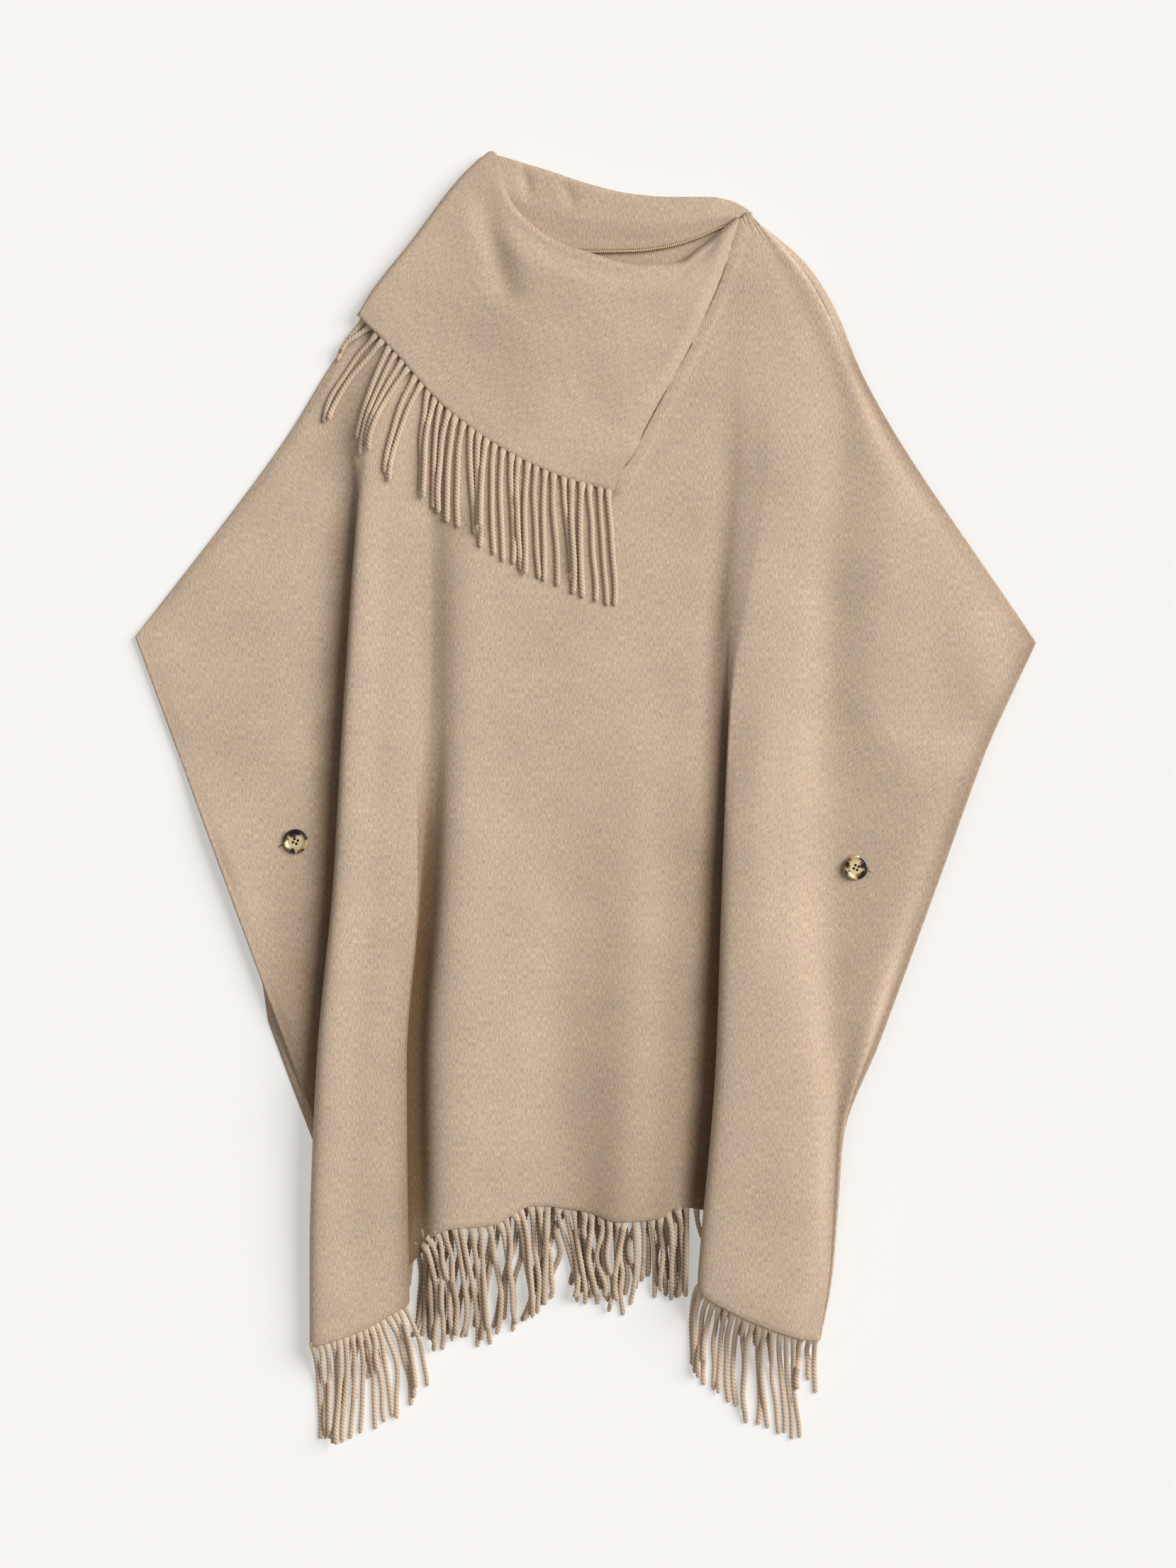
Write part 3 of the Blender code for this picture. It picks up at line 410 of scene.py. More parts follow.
def section(y):
    """x and z of every point of ACROSS at the places y along the garment, as (point, 2, ...)."""
    left, right = left_outline(y), right_outline(y)
    at, up, tuck = ({name: at_levels(row, y) for name, row in table.items()}
                    for table in (LINES, HEIGHTS, TUCKS))
    over = {side: smooth_mm(*ends, y) for side, ends in FOLDS_OVER.items()}
    p = {}

    # Left wing, whose width runs to the turn where the fold lies over
    crease, lip = at["crease_left"], at["lip_left"]
    turn = crease + tuck["left"]
    wing = mix(crease, turn, over["left"]) - left
    margin = np.minimum(MARGIN, 0.25 * wing)
    roll = smooth_mm(TIP_LEFT[1], TIP_LEFT[1] + 30, y)
    lift = WING_LIFT["left"] * smooth_mm(40, -40, y) * smooth_mm(-240, -140, y)
    p["side_left"] = left, LAY + lift - ROLL_DOWN * margin * roll
    p["margin_left"] = left + margin, LAY + 0.9 * lift
    p["wing_left"] = (left + 0.5 * wing,
                      LAY + 0.2 * lift + WING_SWELL * smooth_mm(20, 90, wing))

    # Left fold: gentle at the chest, and firm with a steep edge below
    fold = z_fold(left + 0.5 * wing, turn, crease, LAY, up["top_left"], over["left"], 0.5)
    p.update({f"{name}_left": place for name, place in fold.items()})
    brow = np.minimum(BROW, 0.2 * (lip - crease))
    deep = smooth_mm(85, -50, y)
    groove, bank = (at["groove_left"], up["groove_left"]), (at["bank_left"], up["bank_left"])
    p["shoulder_left"] = crease + brow, up["top_left"] - 0.5 * MM
    p["top_left"] = (mix(crease, lip, 0.5),
                     mix(up["top_left"], up["lip_left"], 0.55) - 0.5 * MM * deep)
    p["edge_left"] = lip - mix(8, 3.2, deep) * MM, mix(up["top_left"], up["lip_left"], 0.85)
    p["brow_left"] = lip - 0.8 * MM * deep, up["lip_left"]
    p["lip_left"] = (mix(mix(lip, groove[0], 0.5), lip - 0.2 * MM, deep),
                     mix(mix(groove[1], up["lip_left"], 0.5), up["lip_left"] - 2.2 * MM, deep))
    p["groove_left"] = groove
    for name, shares in GROOVE_SIDE.items():
        p[name] = tuple(mix(a, b, mix(gentle, firm, deep))
                        for a, b, gentle, firm in zip(groove, bank, *shares))
    p["bank_left"] = bank

    # Middle, and the right fold
    for name in ("crest_left", "shelf", "trough", "crest_right", "descent"):
        p[name] = at[name], up[name]

    groove, crease, ridge = at["groove_right"], at["crease_right"], at["ridge_right"]
    p["groove_right"] = groove, up["groove_right"]
    fold = z_fold(groove, crease + tuck["right"], crease, up["groove_right"], up["top_right"],
                  over["right"], 0.6)
    p.update({f"{name}_right": place for name, place in fold.items()})
    steep = smooth_mm(150, 0, y)
    p["shoulder_right"] = (crease + np.minimum(BROW, 0.2 * (ridge - crease)),
                           up["top_right"] - mix(0, 3.2, steep) * MM)
    p["top_right"] = mix(crease, ridge, 0.5), up["top_right"]
    p["ridge_right"] = ridge, up["ridge_right"]
    p["trough_right"] = at["trough_right"], up["trough_right"]

    # Right wing, which rises beyond its trough and lifts at its lower edge
    wing = right - at["trough_right"]
    margin = np.minimum(MARGIN, 0.35 * wing)
    roll = smooth_mm(TIP_RIGHT[1], TIP_RIGHT[1] + 30, y)
    rise = WING_RISE * smooth_mm(0, 40, wing) * mix(1, 0.25, smooth_mm(180, 320, y))
    lift = WING_LIFT["right"] * smooth_mm(70, 10, y) * smooth_mm(-420, -260, y)
    share = mix(0.3, 0.76, smooth_mm(-20, 80, y)) - 0.3 * smooth_mm(140, 260, y)
    p["wing_right"] = right - share * wing, up["trough_right"] + rise
    lift = np.maximum(lift, 0.4 * rise + 2 * MM * smooth_mm(160, 230, y)
                      * smooth_mm(440, 400, y))
    p["margin_right"] = right - margin, LAY + lift
    p["side_right"] = right, LAY + lift - ROLL_DOWN * margin * roll
    return np.array([np.broadcast_arrays(*p[name]) for name, *_ in ACROSS])


def spline_across(points, place):
    """Centripetal Catmull-Rom curve through a section's points, at the places across."""
    points = np.concatenate([2 * points[:1] - points[1:2], points,
                             2 * points[-1:] - points[-2:-1]])
    segment = np.minimum(place.astype(int), len(points) - 4)
    t = place - segment
    rows = np.broadcast_to(segment, points.shape[2:])
    pick = [np.take_along_axis(points, np.broadcast_to(rows + k, (1, *points.shape[1:])), 0)[0]
            for k in range(4)]
    before, start, end, after = pick

    def spacing(a, b):
        return np.maximum(np.hypot(*(b - a)), 1e-7) ** 0.5

    s0, s1, s2 = spacing(before, start), spacing(start, end), spacing(end, after)
    leave = s1 * ((start - before) / s0 - (end - before) / (s0 + s1)) + end - start
    arrive = end - start - s1 * ((after - start) / (s1 + s2) - (after - end) / s2)
    return (mix(start, end, t * t * (3 - 2 * t)) + leave * t * (1 - t) ** 2
            + arrive * t * t * (t - 1))


def neck_edge(x):
    """y of the front's neck edge at x: the hidden side, then the diagonal seam."""
    left, seam = metres(NECK_LEFT).T, metres(NECK_SEAM).T
    return np.where(x < seam[0][0], through(left[0], left[1], x), through(seam[0], seam[1], x))


def front_top(place):
    """The y at which each column meets the neck edge, found by halving the span."""
    low = np.full(place.shape, NECK_BOTTOM[1] * MM - 5 * MM)
    high = np.full(place.shape, SHOULDER_RIGHT[0][1] * MM + 3 * MM)
    for _ in range(30):
        middle = 0.5 * (low + high)
        above = middle > neck_edge(spline_across(section(middle), place)[0])
        low, high = np.where(above, low, middle), np.where(above, middle, high)
    return middle


def rolling(x, y, wavelength, seed):
    """Low swells of the cloth, -1 to 1: the mean of sines of like length in turned directions."""
    draw = np.random.default_rng(seed)
    total = 0
    for _ in range(7):
        turn, phase = draw.uniform(0, 2 * np.pi, 2)
        length = wavelength * draw.uniform(0.7, 1.5)
        total = total + np.sin(2 * np.pi * (x * np.cos(turn) + y * np.sin(turn)) / length + phase)
    return total / 7 ** 0.5 / 1.5


def near_edge(count, first, last):
    """Shares from 0 to 1 with extra stations close to both ends, for a rounded edge."""
    inner = np.linspace(first[-1], 1 - last[-1], count)[1:-1]
    return np.concatenate([first, inner, 1 - np.array(last)[::-1]])


def front_grid():
    """The front as (rows, columns, 3). Columns follow the lines of folds, and rows run from the
    neck edge to the level of the wing tips and on to the hem."""
    place = np.array([k + j / cells for k, (_, _, cells) in enumerate(ACROSS)
                      for j in range(cells)] + [len(ACROSS) - 1.0])
    place = np.concatenate([[0, 0.03, 0.1], place[1:-1],
                            place[-1] - np.array([0.1, 0.03, 0])])
    hem = through(np.arange(len(ACROSS)), metres([h for _, h, _ in ACROSS]), place)
    tips = mix(TIP_LEFT[1], TIP_RIGHT[1], place / place[-1]) * MM
    top = front_top(place)
    above = near_edge(ROWS_ABOVE_TIPS, [0, 0.0008, 0.003], [0])[:, None]
    under = near_edge(ROWS_BELOW_TIPS, [0], [0, 0.0005, 0.002])[1:, None]
    y = np.concatenate([mix(top, tips, above), mix(tips, hem, under)])
    x, z = spline_across(section(y), place)
    inside = (place >= 1) & (place <= len(ACROSS) - 2)
    z = np.where(inside, np.maximum(z, LAY), z)
    calm = smooth_mm(0, 25, np.minimum(top - y, y - hem))
    z = z + inside * calm * SWELLS * (1 + rolling(x, y, 70 * MM, 3))
    return np.stack([x, y, z], -1), place


def along(points, shares):
    """The smooth line through the points, at shares of its length, in metres."""
    points = np.array(points)
    run = run_of(points)
    return np.stack([through(run / run[-1], column, shares) for column in points.T], -1)


def outward(line_points):
    """Unit vectors in plan, square to a line and to its left as it runs."""
    run = unit(np.gradient(line_points[..., :2], axis=-2))
    return np.stack([-run[..., 1], run[..., 0]], -1)


def rolled(name, at):
    """How far a rolled edge reaches out and down at shares of its length: r sin a and
    r (1 - cos a) over an arc, then a straight tail."""
    radius, tail, first, grows, last, shrinks, least, *ends = ROLLS[name]
    turn = math.pi * mix(first, 1, smooth(*grows, at)) * mix(1, last, smooth(*shrinks, at))
    tail = tail * MM * mix(least, 1, smooth(*ends[0], at) * smooth(*ends[1], at))
    radius = radius * MM
    arc = np.linspace(0, 1, ROLL_STEPS)[:, None] * turn
    out = np.concatenate([radius * np.sin(arc), [radius * np.sin(turn) + tail * np.cos(turn)]])
    down = np.concatenate([radius * (1 - np.cos(arc)),
                           [radius * (1 - np.cos(turn)) + tail * np.sin(turn)]])
    return out, down


def coons(top, bottom, left, right, u, v):
    """Coons patch: the blend of top and bottom, plus that of left and right, less the blend of
    the four corners."""
    u, v = u[None, :, None], v[:, None, None]
    corners = mix(mix(top[0], top[-1], u), mix(bottom[0], bottom[-1], u), v)
    return mix(top[None], bottom[None], v) + mix(left[:, None], right[:, None], u) - corners


def patch(top, bottom, left, right, u, v):
    """Coons patch between smooth lines through the points of each side."""
    return coons(along(top, u), along(bottom, u), along(left, v), along(right, v), u, v)


def tree_of(*objects):
    """A search tree of the finished walls of these objects."""
    graph = bpy.context.evaluated_depsgraph_get()
    vertices, faces = [], []
    for obj in objects:
        mesh = obj.evaluated_get(graph).to_mesh()
        first = len(vertices)
        vertices += [obj.matrix_world @ v.co for v in mesh.vertices]
        faces += [[first + i for i in p.vertices] for p in mesh.polygons]
    return BVHTree.FromPolygons(vertices, faces)


def surface_below(tree, x, y, reach=0.0):
    """The highest surface within reach of each place in plan, or the floor."""
    around = np.arange(8) * math.pi / 4
    offsets = [(0, 0)]
    if reach > 0:
        offsets += [(reach * math.cos(turn), reach * math.sin(turn)) for turn in around]
    tops = np.zeros(x.shape)
    for index in np.ndindex(*x.shape):
        hits = [tree.ray_cast((x[index] + dx, y[index] + dy, 0.2), (0, 0, -1))[0]
                for dx, dy in offsets]
        tops[index] = max([hit.z for hit in hits if hit is not None], default=0.0)
    return tops


def settled(z, support, passes, free):
    """Heights let down onto the support: each pass moves every free place halfway to the mean
    of its neighbours, and never below the support."""
    z = np.maximum(z, support)
    for _ in range(passes):
        padded = np.pad(z, 1, mode="edge")
        mean = 0.25 * (padded[:-2, 1:-1] + padded[2:, 1:-1] + padded[1:-1, :-2] + padded[1:-1, 2:])
        z = np.where(free, np.maximum(mix(z, mean, 0.5), support), z)
    return z


def through_grid(points, at):
    """Catmull-Rom curve through evenly spaced points (or rows of points), at shares of it."""
    points = np.concatenate([2 * points[:1] - points[1:2], points,
                             2 * points[-1:] - points[-2:-1]])
    place = at * (len(points) - 3)
    k = np.minimum(place.astype(int), len(points) - 4)
    t = (place - k).reshape(-1, *[1] * (points.ndim - 1))
    a, b, c, d = (points[k + j] for j in range(4))
    return 0.5 * (2 * b + (c - a) * t + (2 * a - 5 * b + 4 * c - d) * t ** 2
                  + (3 * b - a - 3 * c + d) * t ** 3)


def refined(grid, rows, columns):
    """A coarse grid's own smooth surface, at shares of its rows and of its columns."""
    return through_grid(through_grid(grid, rows).swapaxes(0, 1), columns).swapaxes(0, 1)


# ---------------------------------------------------------------- meshes
def placed(name, data):
    """A new object in the scene."""
    obj = bpy.data.objects.new(name, data)
    bpy.context.scene.collection.objects.link(obj)
    return obj


def link(name, mesh, material):
    """An object that rides on the garment's one body and takes its finish from the slot."""
    mesh.materials.append(material)
    obj = placed(name, mesh)
    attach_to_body(obj, "root")
    return obj


def attach(mesh, label, values):
    """Keeps a number for each vertex as an attribute of the mesh."""
    layer = mesh.attributes.new(label, "FLOAT", "POINT")
    layer.data.foreach_set("value", values.astype(np.float32).ravel())


def grid_faces(rows, columns):
    """Corner numbers of the cells of a grid, facing up where rows run to +X and go down to -Y."""
    at = np.arange(rows * columns).reshape(rows, columns)
    return np.stack([at[:-1, :-1], at[1:, :-1], at[1:, 1:], at[:-1, 1:]], -1).reshape(-1, 4)


def cloth_lengths(points, column):
    """u and v of a sheet in metres: length along the row from the given column, and length up
    the column from the last row."""
    u = summed(np.linalg.norm(np.diff(points, axis=1), axis=-1), 1)
    v = summed(np.linalg.norm(np.diff(points, axis=0), axis=-1))
    return np.stack([u - u[:, column:column + 1], v[-1:] - v], -1)


def level_lengths(points, column):
    """u and v in metres for a sheet that lies nearly level: its own lengths to the right and up,
    from x along the given column and from y at the last row, so that a nap runs straight."""
    across, down = np.diff(points, axis=1), np.diff(points, axis=0)
    u = summed(np.hypot(across[..., 0], across[..., 2]), 1)
    v = summed(np.hypot(down[..., 1], down[..., 2]))
    return np.stack([u - u[:, column:column + 1] + points[:, column:column + 1, 0],
                     v[-1:] - v + points[-1:, :, 1]], -1)


EDGE_SHARES = (0.1, 0.55, 0.85, 1.0)    # thickness of the outer rings of cells, and inside


def ring_of(points):
    """How many rows or columns each point of a grid lies from its nearest edge."""
    i, j = (np.minimum(k, k[::-1]) for k in map(np.arange, points.shape[:2]))
    return np.minimum(i[:, None], j)


def cloth(name, points, settings, column, lengths=cloth_lengths):
    """A wall of cloth with the grid of points in the middle of its thickness, thinned over the
    outer rings of cells so that its edge is round, with lengths along the cloth as its UV."""
    points = np.maximum(points, [-np.inf, -np.inf, 0.5 * settings.thickness])
    mesh = bpy.data.meshes.new(name)
    faces = grid_faces(*points.shape[:2])
    mesh.from_pydata(points.reshape(-1, 3), [], faces)
    uv = lengths(points, column).reshape(-1, 2)
    layer = mesh.uv_layers.new(name="cloth")
    layer.data.foreach_set("uv", uv[faces.ravel()].astype(np.float32).ravel())
    mesh.shade_smooth()
    obj = link(name, mesh, wool(settings))
    ring = np.minimum(ring_of(points), len(EDGE_SHARES) - 1).ravel()
    group = obj.vertex_groups.new(name="thickness")
    for step, share in enumerate(EDGE_SHARES):
        group.add(np.flatnonzero(ring == step).tolist(), share, "REPLACE")
    wall = obj.modifiers.new("thickness", "SOLIDIFY")
    wall.thickness = settings.thickness
    wall.offset = 0.0
    wall.vertex_group = "thickness"
    return obj


def tubes(name, paths, profile, material, attributes=()):
    """Closed tubes: profile (tube, step, corner, 2) carried along paths (tube, step, 3), with
    each end drawn together in a point. The profile's axes are level and square to the path."""
    count, steps, corners = profile.shape[:3]
    run = unit(np.gradient(paths, axis=1))
    side = unit(np.cross(run, (0, 0, 1)))
    up = np.cross(side, run)
    rings = (paths[:, :, None] + profile[..., :1] * side[:, :, None]
             + profile[..., 1:] * up[:, :, None])
    body = np.arange(count * steps * corners).reshape(count, steps, corners)
    turn = np.roll(body, -1, axis=2)
    quads = np.stack([body[:, :-1], body[:, 1:], turn[:, 1:], turn[:, :-1]], -1).reshape(-1, 4)
    poles = count * steps * corners + np.arange(2 * count).reshape(count, 2, 1)
    start = np.stack([turn[:, 0], np.broadcast_to(poles[:, 0], turn[:, 0].shape), body[:, 0]], -1)
    end = np.stack([body[:, -1], np.broadcast_to(poles[:, 1], turn[:, 0].shape), turn[:, -1]], -1)
    vertices = np.concatenate([rings.reshape(-1, 3), paths[:, [0, -1]].reshape(-1, 3)])
    faces = quads.tolist() + start.reshape(-1, 3).tolist() + end.reshape(-1, 3).tolist()
    mesh = bpy.data.meshes.new(name)
    mesh.from_pydata(vertices, [], faces)
    mesh.shade_smooth()
    for label, values in attributes:
        full = np.concatenate([np.broadcast_to(values, body.shape).ravel(),
                               np.broadcast_to(values[:, [0, -1], :1],
                                               (count, 2, 1)).ravel()])
        attach(mesh, label, full)
    return link(name, mesh, material)


# ---------------------------------------------------------------- shapes of the pieces
def beside(line, x, y):
    """Distance in plan from each place to a line of points, by its nearest point."""
    away = np.hypot(x[..., None] - line[:, 0], y[..., None] - line[:, 1])
    return away.min(-1)


def dents(name, x, y):
    """Soft troughs, or bands of painted shade, each between two places: depth times exp(-(d /
    width)^2) times sqrt(sin(pi t)), where t runs from one end to the other."""
    total = 0
    for start, end, width, depth in DENTS[name]:
        start, end = metres(start), metres(end)
        run = end - start
        t = np.clip(((x - start[0]) * run[0] + (y - start[1]) * run[1]) / (run @ run), 0, 1)
        away = np.hypot(x - start[0] - t * run[0], y - start[1] - t * run[1])
        total = total + depth * np.exp(-(away / (width * MM)) ** 2) * np.sin(np.pi * t) ** 0.5
    return total


def front_with_seams(points):
    """The front with a band pressed up beside its diagonal seam, a shallow line along the
    shoulder seam inside the right outline, and a ridge near the right wing's edge."""
    x, y, z = np.moveaxis(points, -1, 0)
    shares = np.linspace(0, 1, 160)
    seam = along(metres(NECK_SEAM), shares)
    away = beside(seam, x, y)
    band = smooth_mm(0, 1.5, away) * smooth_mm(11, 8, away)
    inset = right_outline(y) - x
    line = np.exp(-((inset - SEAM_INSET) / (1.1 * MM)) ** 2) * smooth_mm(360, 395, y)
    z = z + SEAM_BAND * band - SEAM_LINE * line - MM * dents("front", x, y)
    return np.stack([x, y, z], -1)


def with_allowance(points):
    """The front with a seam allowance: two more rows past the neck edge, turned down and drawn
    in under the collar along the diagonal."""
    edge = points[0]
    way = outward(edge)
    deep = smooth_mm(NECK_BOTTOM[0] - 6, NECK_BOTTOM[0] + 6, edge[:, 0])[:, None]
    ends = smooth_mm(NECK_SEAM[-1][0], NECK_SEAM[-1][0] - 14, edge[:, 0])[:, None]
    rows = [np.concatenate([edge[:, :2] + way * out * mix(0.2, 1, deep) * mix(0.1, 1, ends),
                            edge[:, 2:] - down * deep * ends], 1)
            for out, down in ((7 * MM, 2.1 * MM), (2.2 * MM, 1.5 * MM))]
    return np.concatenate([rows, points])


def with_rolled_edges(points, u, v):
    """A grid with rolled edges past its first row and its first column: the step of the roll is
    0 on the grid itself and rises past its edge, where i and j stay 0."""
    (rim_out, rim_down), (side_out, side_down) = rolled("rim", u), rolled("side", v)
    rim_way, side_way = outward(points[0]), -outward(points[:, 0])
    places = [np.maximum(np.arange(-ROLL_STEPS, len(at)), 0) for at in (v, u)]
    steps = [np.maximum(-np.arange(-ROLL_STEPS, len(at)), 0) for at in (v, u)]
    (i, j), (row, column) = np.ix_(*places), np.ix_(*steps)
    plan = (points[i, j, :2] + rim_way[j] * rim_out[row, j][..., None]
            + side_way[i] * side_out[column, i][..., None])
    z = points[i, j, 2] - rim_down[row, j] - side_down[column, i]
    return np.concatenate([plan, z[..., None]], -1)


def collar_grid(edge, tree):
    """The front stretch of the collar: a Coons patch between rim, side, end and diagonal seam,
    let down onto the front, drawn out finer, and rolled under at its rim and its side."""
    edge = edge[np.argmin(edge[:, 1]):]
    seam = edge[edge[:, 1] < SEAM_TOP[1] * MM]
    seam = np.concatenate([seam[:, :2] + outward(seam) * SEAM_GAP, seam[:, 2:]], 1)[::-1]
    top, side, end = metres(RIM), metres(COLLAR_SIDE), metres(COLLAR_END)
    right = np.concatenate([[top[-1]], seam, [metres(SCARF_CORNER)]])
    u, v = (np.linspace(0, 1, cells + 1) for cells in COLLAR_CELLS)
    points = patch(top, end, side, right, u, v)
    x, y, z = np.moveaxis(points, -1, 0)
    support = surface_below(tree, x, y, 9 * MM) + GAP + 0.5 * CLOTH
    beside_seam = (np.arange(len(u)) == len(u) - 1) & (y > (NECK_BOTTOM[1] + 25) * MM)
    support = np.where(beside_seam, 0, support)
    free = np.ones(z.shape, bool)
    free[0], free[:, 0], free[:, -1] = False, False, False
    z = settled(z, support, 30, free)

    v = near_edge(86, [0], [0, 0.002, 0.006])
    u = near_edge(116, [0], [0, 0.0015, 0.005])
    x, y, z, support = np.moveaxis(refined(np.stack([x, y, z, support], -1), v, u), -1, 0)
    dip = MM * dents("scarf_front", x, y)
    wave = 0.5 * MM * rolling(x, y, 60 * MM, 11) * smooth(0, 0.1, u) * smooth(1, 0.9, u)
    z = np.maximum(z - dip + wave, np.minimum(z, support))
    fall = np.linalg.norm(points[:, :, :2] - points[:1, :, :2], axis=-1)
    fall = through_grid(through_grid(fall, v).T, u).T
    z = z - RIM_HOLLOW * (1 - smooth_mm(0, 24, fall)) * smooth(0, 0.15, u) * smooth(1, 0.85, u)
    return with_rolled_edges(np.stack([x, y, z], -1), u, v)


CUT_FADE = 0.15                     # how much a cut edge's shade fades at each ring of points
HEM_SHADE = 0.55                    # shade of what lies right under a hem
RIM_FULL = 0.4                      # share of a roll at which its shade is full


def surroundings(*pieces):
    """Mean height of the cloth within HOLLOW cells to each side, on a level grid, as
    (x, y, heights)."""
    x, y = (np.arange(-low, low, CELL) for low in (0.4, 0.56))
    wide = 2 * HOLLOW + 1
    top = surface_below(tree_of(*pieces), *np.meshgrid(x, y, indexing="ij"))
    for axis in (0, 1):
        run = np.cumsum(np.pad(top, [(HOLLOW + 1, HOLLOW) if k == axis else (0, 0)
                                     for k in (0, 1)], mode="edge"), axis=axis)
        top = (np.delete(run, np.s_[:wide], axis=axis)
               - np.delete(run, np.s_[-wide:], axis=axis)) / wide
    return x, y, top


def painted_shade(around, points):
    """How much painted shade each point takes for lying in a crease, 0 to 1: smoothly from 0.5 to
    11 mm below the mean height around it."""
    x, y, top = around
    i, j = (np.rint((points[..., k] - line[0]) / CELL).astype(int)
            for k, line in ((0, x), (1, y)))
    deep = top[np.clip(i, 0, len(x) - 1), np.clip(j, 0, len(y) - 1)] - points[..., 2]
    return smooth_mm(0.5, 11, deep)


def broad_shade(x, y):
    """How deep the broad painted shade is at each point, 0 to 1, with painted shade on the cloth
    under each button, which shows through its holes."""
    clear = np.ones(x.shape)
    # painted shade under each button, seen through its holes
    for name in BUTTONS:
        low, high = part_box(name)
        away = np.hypot(x - 0.5 * (low[0] + high[0]), y - 0.5 * (low[1] + high[1]))
        clear = clear * smooth_mm(6, 8, away)
    for line, middle, left, right, shares in SHADES:
        away = x - at_levels(LINES[line], y) - middle * MM
        near = smooth_mm(-left, 0, away) * smooth_mm(right, 0, away)
        clear = clear * (1 - near * through(LEVELS, shares, y))
    return 1 - clear


def edge_shade(points, place, upper):
    """How deep the shade is on the left fold's steep edge and in a strip inside the right
    outline, which darkens up the shoulder and fades at its top."""
    x, y = points[..., 0], points[..., 1]
    fold = (0.7 * smooth(0.5, 1, place - NAMES.index("edge_left"))
            * (place <= NAMES.index("foot_left")) * smooth_mm(85, -50, y))
    strip = 0.32 + 0.2 * upper - 0.45 * smooth_mm(340, 390, y)
    return np.maximum(fold, strip * smooth_mm(17, 3, right_outline(y) - x))


def shade_creases(piece, around, points, share, cut, edges=0.0, hem=None, broad=0.0):
    """Keeps how deep a piece's painted shade is as the attribute its finish reads, to darken its
    colour: that of its hollows, its own cut edges, the edges given or the gap under a hem, and then
    broad painted shade."""
    depth = np.maximum(share * painted_shade(around, points), cut - CUT_FADE * ring_of(points))
    depth = np.maximum(depth, edges)
    if hem is not None:
        away = beside(hem[::4], points[..., 0], points[..., 1])
        depth = np.maximum(depth, HEM_SHADE * smooth_mm(13, 1, away))
    depth = 1 - (1 - depth) * (1 - broad)
    attach(piece.data, "painted_shade", depth)


def shade_rim(piece, points, tone):
    """Paints shade onto a rolled rim: the share grows as a sine and is full RIM_FULL into the roll.
    """
    layer = piece.data.attributes["painted_shade"].data
    depth = np.zeros(len(layer), np.float32)
    layer.foreach_get("value", depth)
    turned = (ROLL_STEPS - np.arange(len(points))) / ROLL_STEPS
    turned = tone * np.sin(0.5 * np.pi * np.clip(turned / RIM_FULL, 0, 1))[:, None]
    layer.foreach_set("value", np.maximum(depth.reshape(points.shape[:2]), turned).ravel())


def back_collar_grid():
    """The back stretch of the collar: from its seam up to its crest with two soft dents, then
    over and down behind itself."""
    u, v = (np.linspace(0, 1, count) for count in BACK_COLLAR_POINTS)
    crest, seam = metres(BACK_CREST), metres(BACK_SEAM)
    points = patch(crest, seam, [crest[0], seam[0]], [crest[-1], seam[-1]], u, v)
    points[:, :, 2] = mix(points[0, :, 2], points[-1, :, 2], smooth(0.45, 1, v[:, None]))
    x, y, _z = np.moveaxis(points, -1, 0)
    points[:, :, 2] = np.maximum(points[:, :, 2] - MM * dents("scarf_back", x, y), 0.5 * CLOTH)
    out, down = rolled("back", u)
    way = outward(points[0])
    steps = np.arange(ROLL_STEPS, 0, -1)
    roll = np.concatenate([points[0, :, :2] + way * out[steps][..., None],
                           (points[0, :, 2] - down[steps])[..., None]], -1)
    return np.concatenate([roll, points])


def back_grid(seam):
    """The back, flat on the floor: a Coons patch from shoulders and neck edge down to the hem,
    with a column at each corner of its top edge."""
    def shoulder(outline, tip, top, inset):
        y = np.linspace(tip[1] * MM + 4 * MM, top * MM, 50)
        return np.stack([outline(y) + inset, y], -1)

    left = shoulder(left_outline, TIP_LEFT, SHOULDER_LEFT[0][1] - 8, SHOULDER_INSET)
    right = shoulder(right_outline, TIP_RIGHT, SHOULDER_RIGHT[0][1] - 12, -SHOULDER_INSET)[::-1]
    neck = seam[::2, :2] - outward(seam)[::2] * 0.3 * GAP
    top = np.concatenate([left, neck, right])
    u = run_of(top)
    u /= u[-1]
    v = near_edge(110, [0, 0.0008, 0.003], [0, 0.0008, 0.003])
    bottom, west = spaced(metres(BACK_HEM), u), spaced(metres(BACK_SIDE_LEFT), v)
    y = mix(TIP_RIGHT[1] * MM, BACK_HEM[-1][1] * MM, v)
    east = np.stack([right_outline(y), y], -1)
    west[0], east[0] = top[0], top[-1]
    plan = coons(top, bottom, west, east, u, v)
    return np.concatenate([plan, np.full((*plan.shape[:2], 1), 0.5 * CLOTH)], -1)


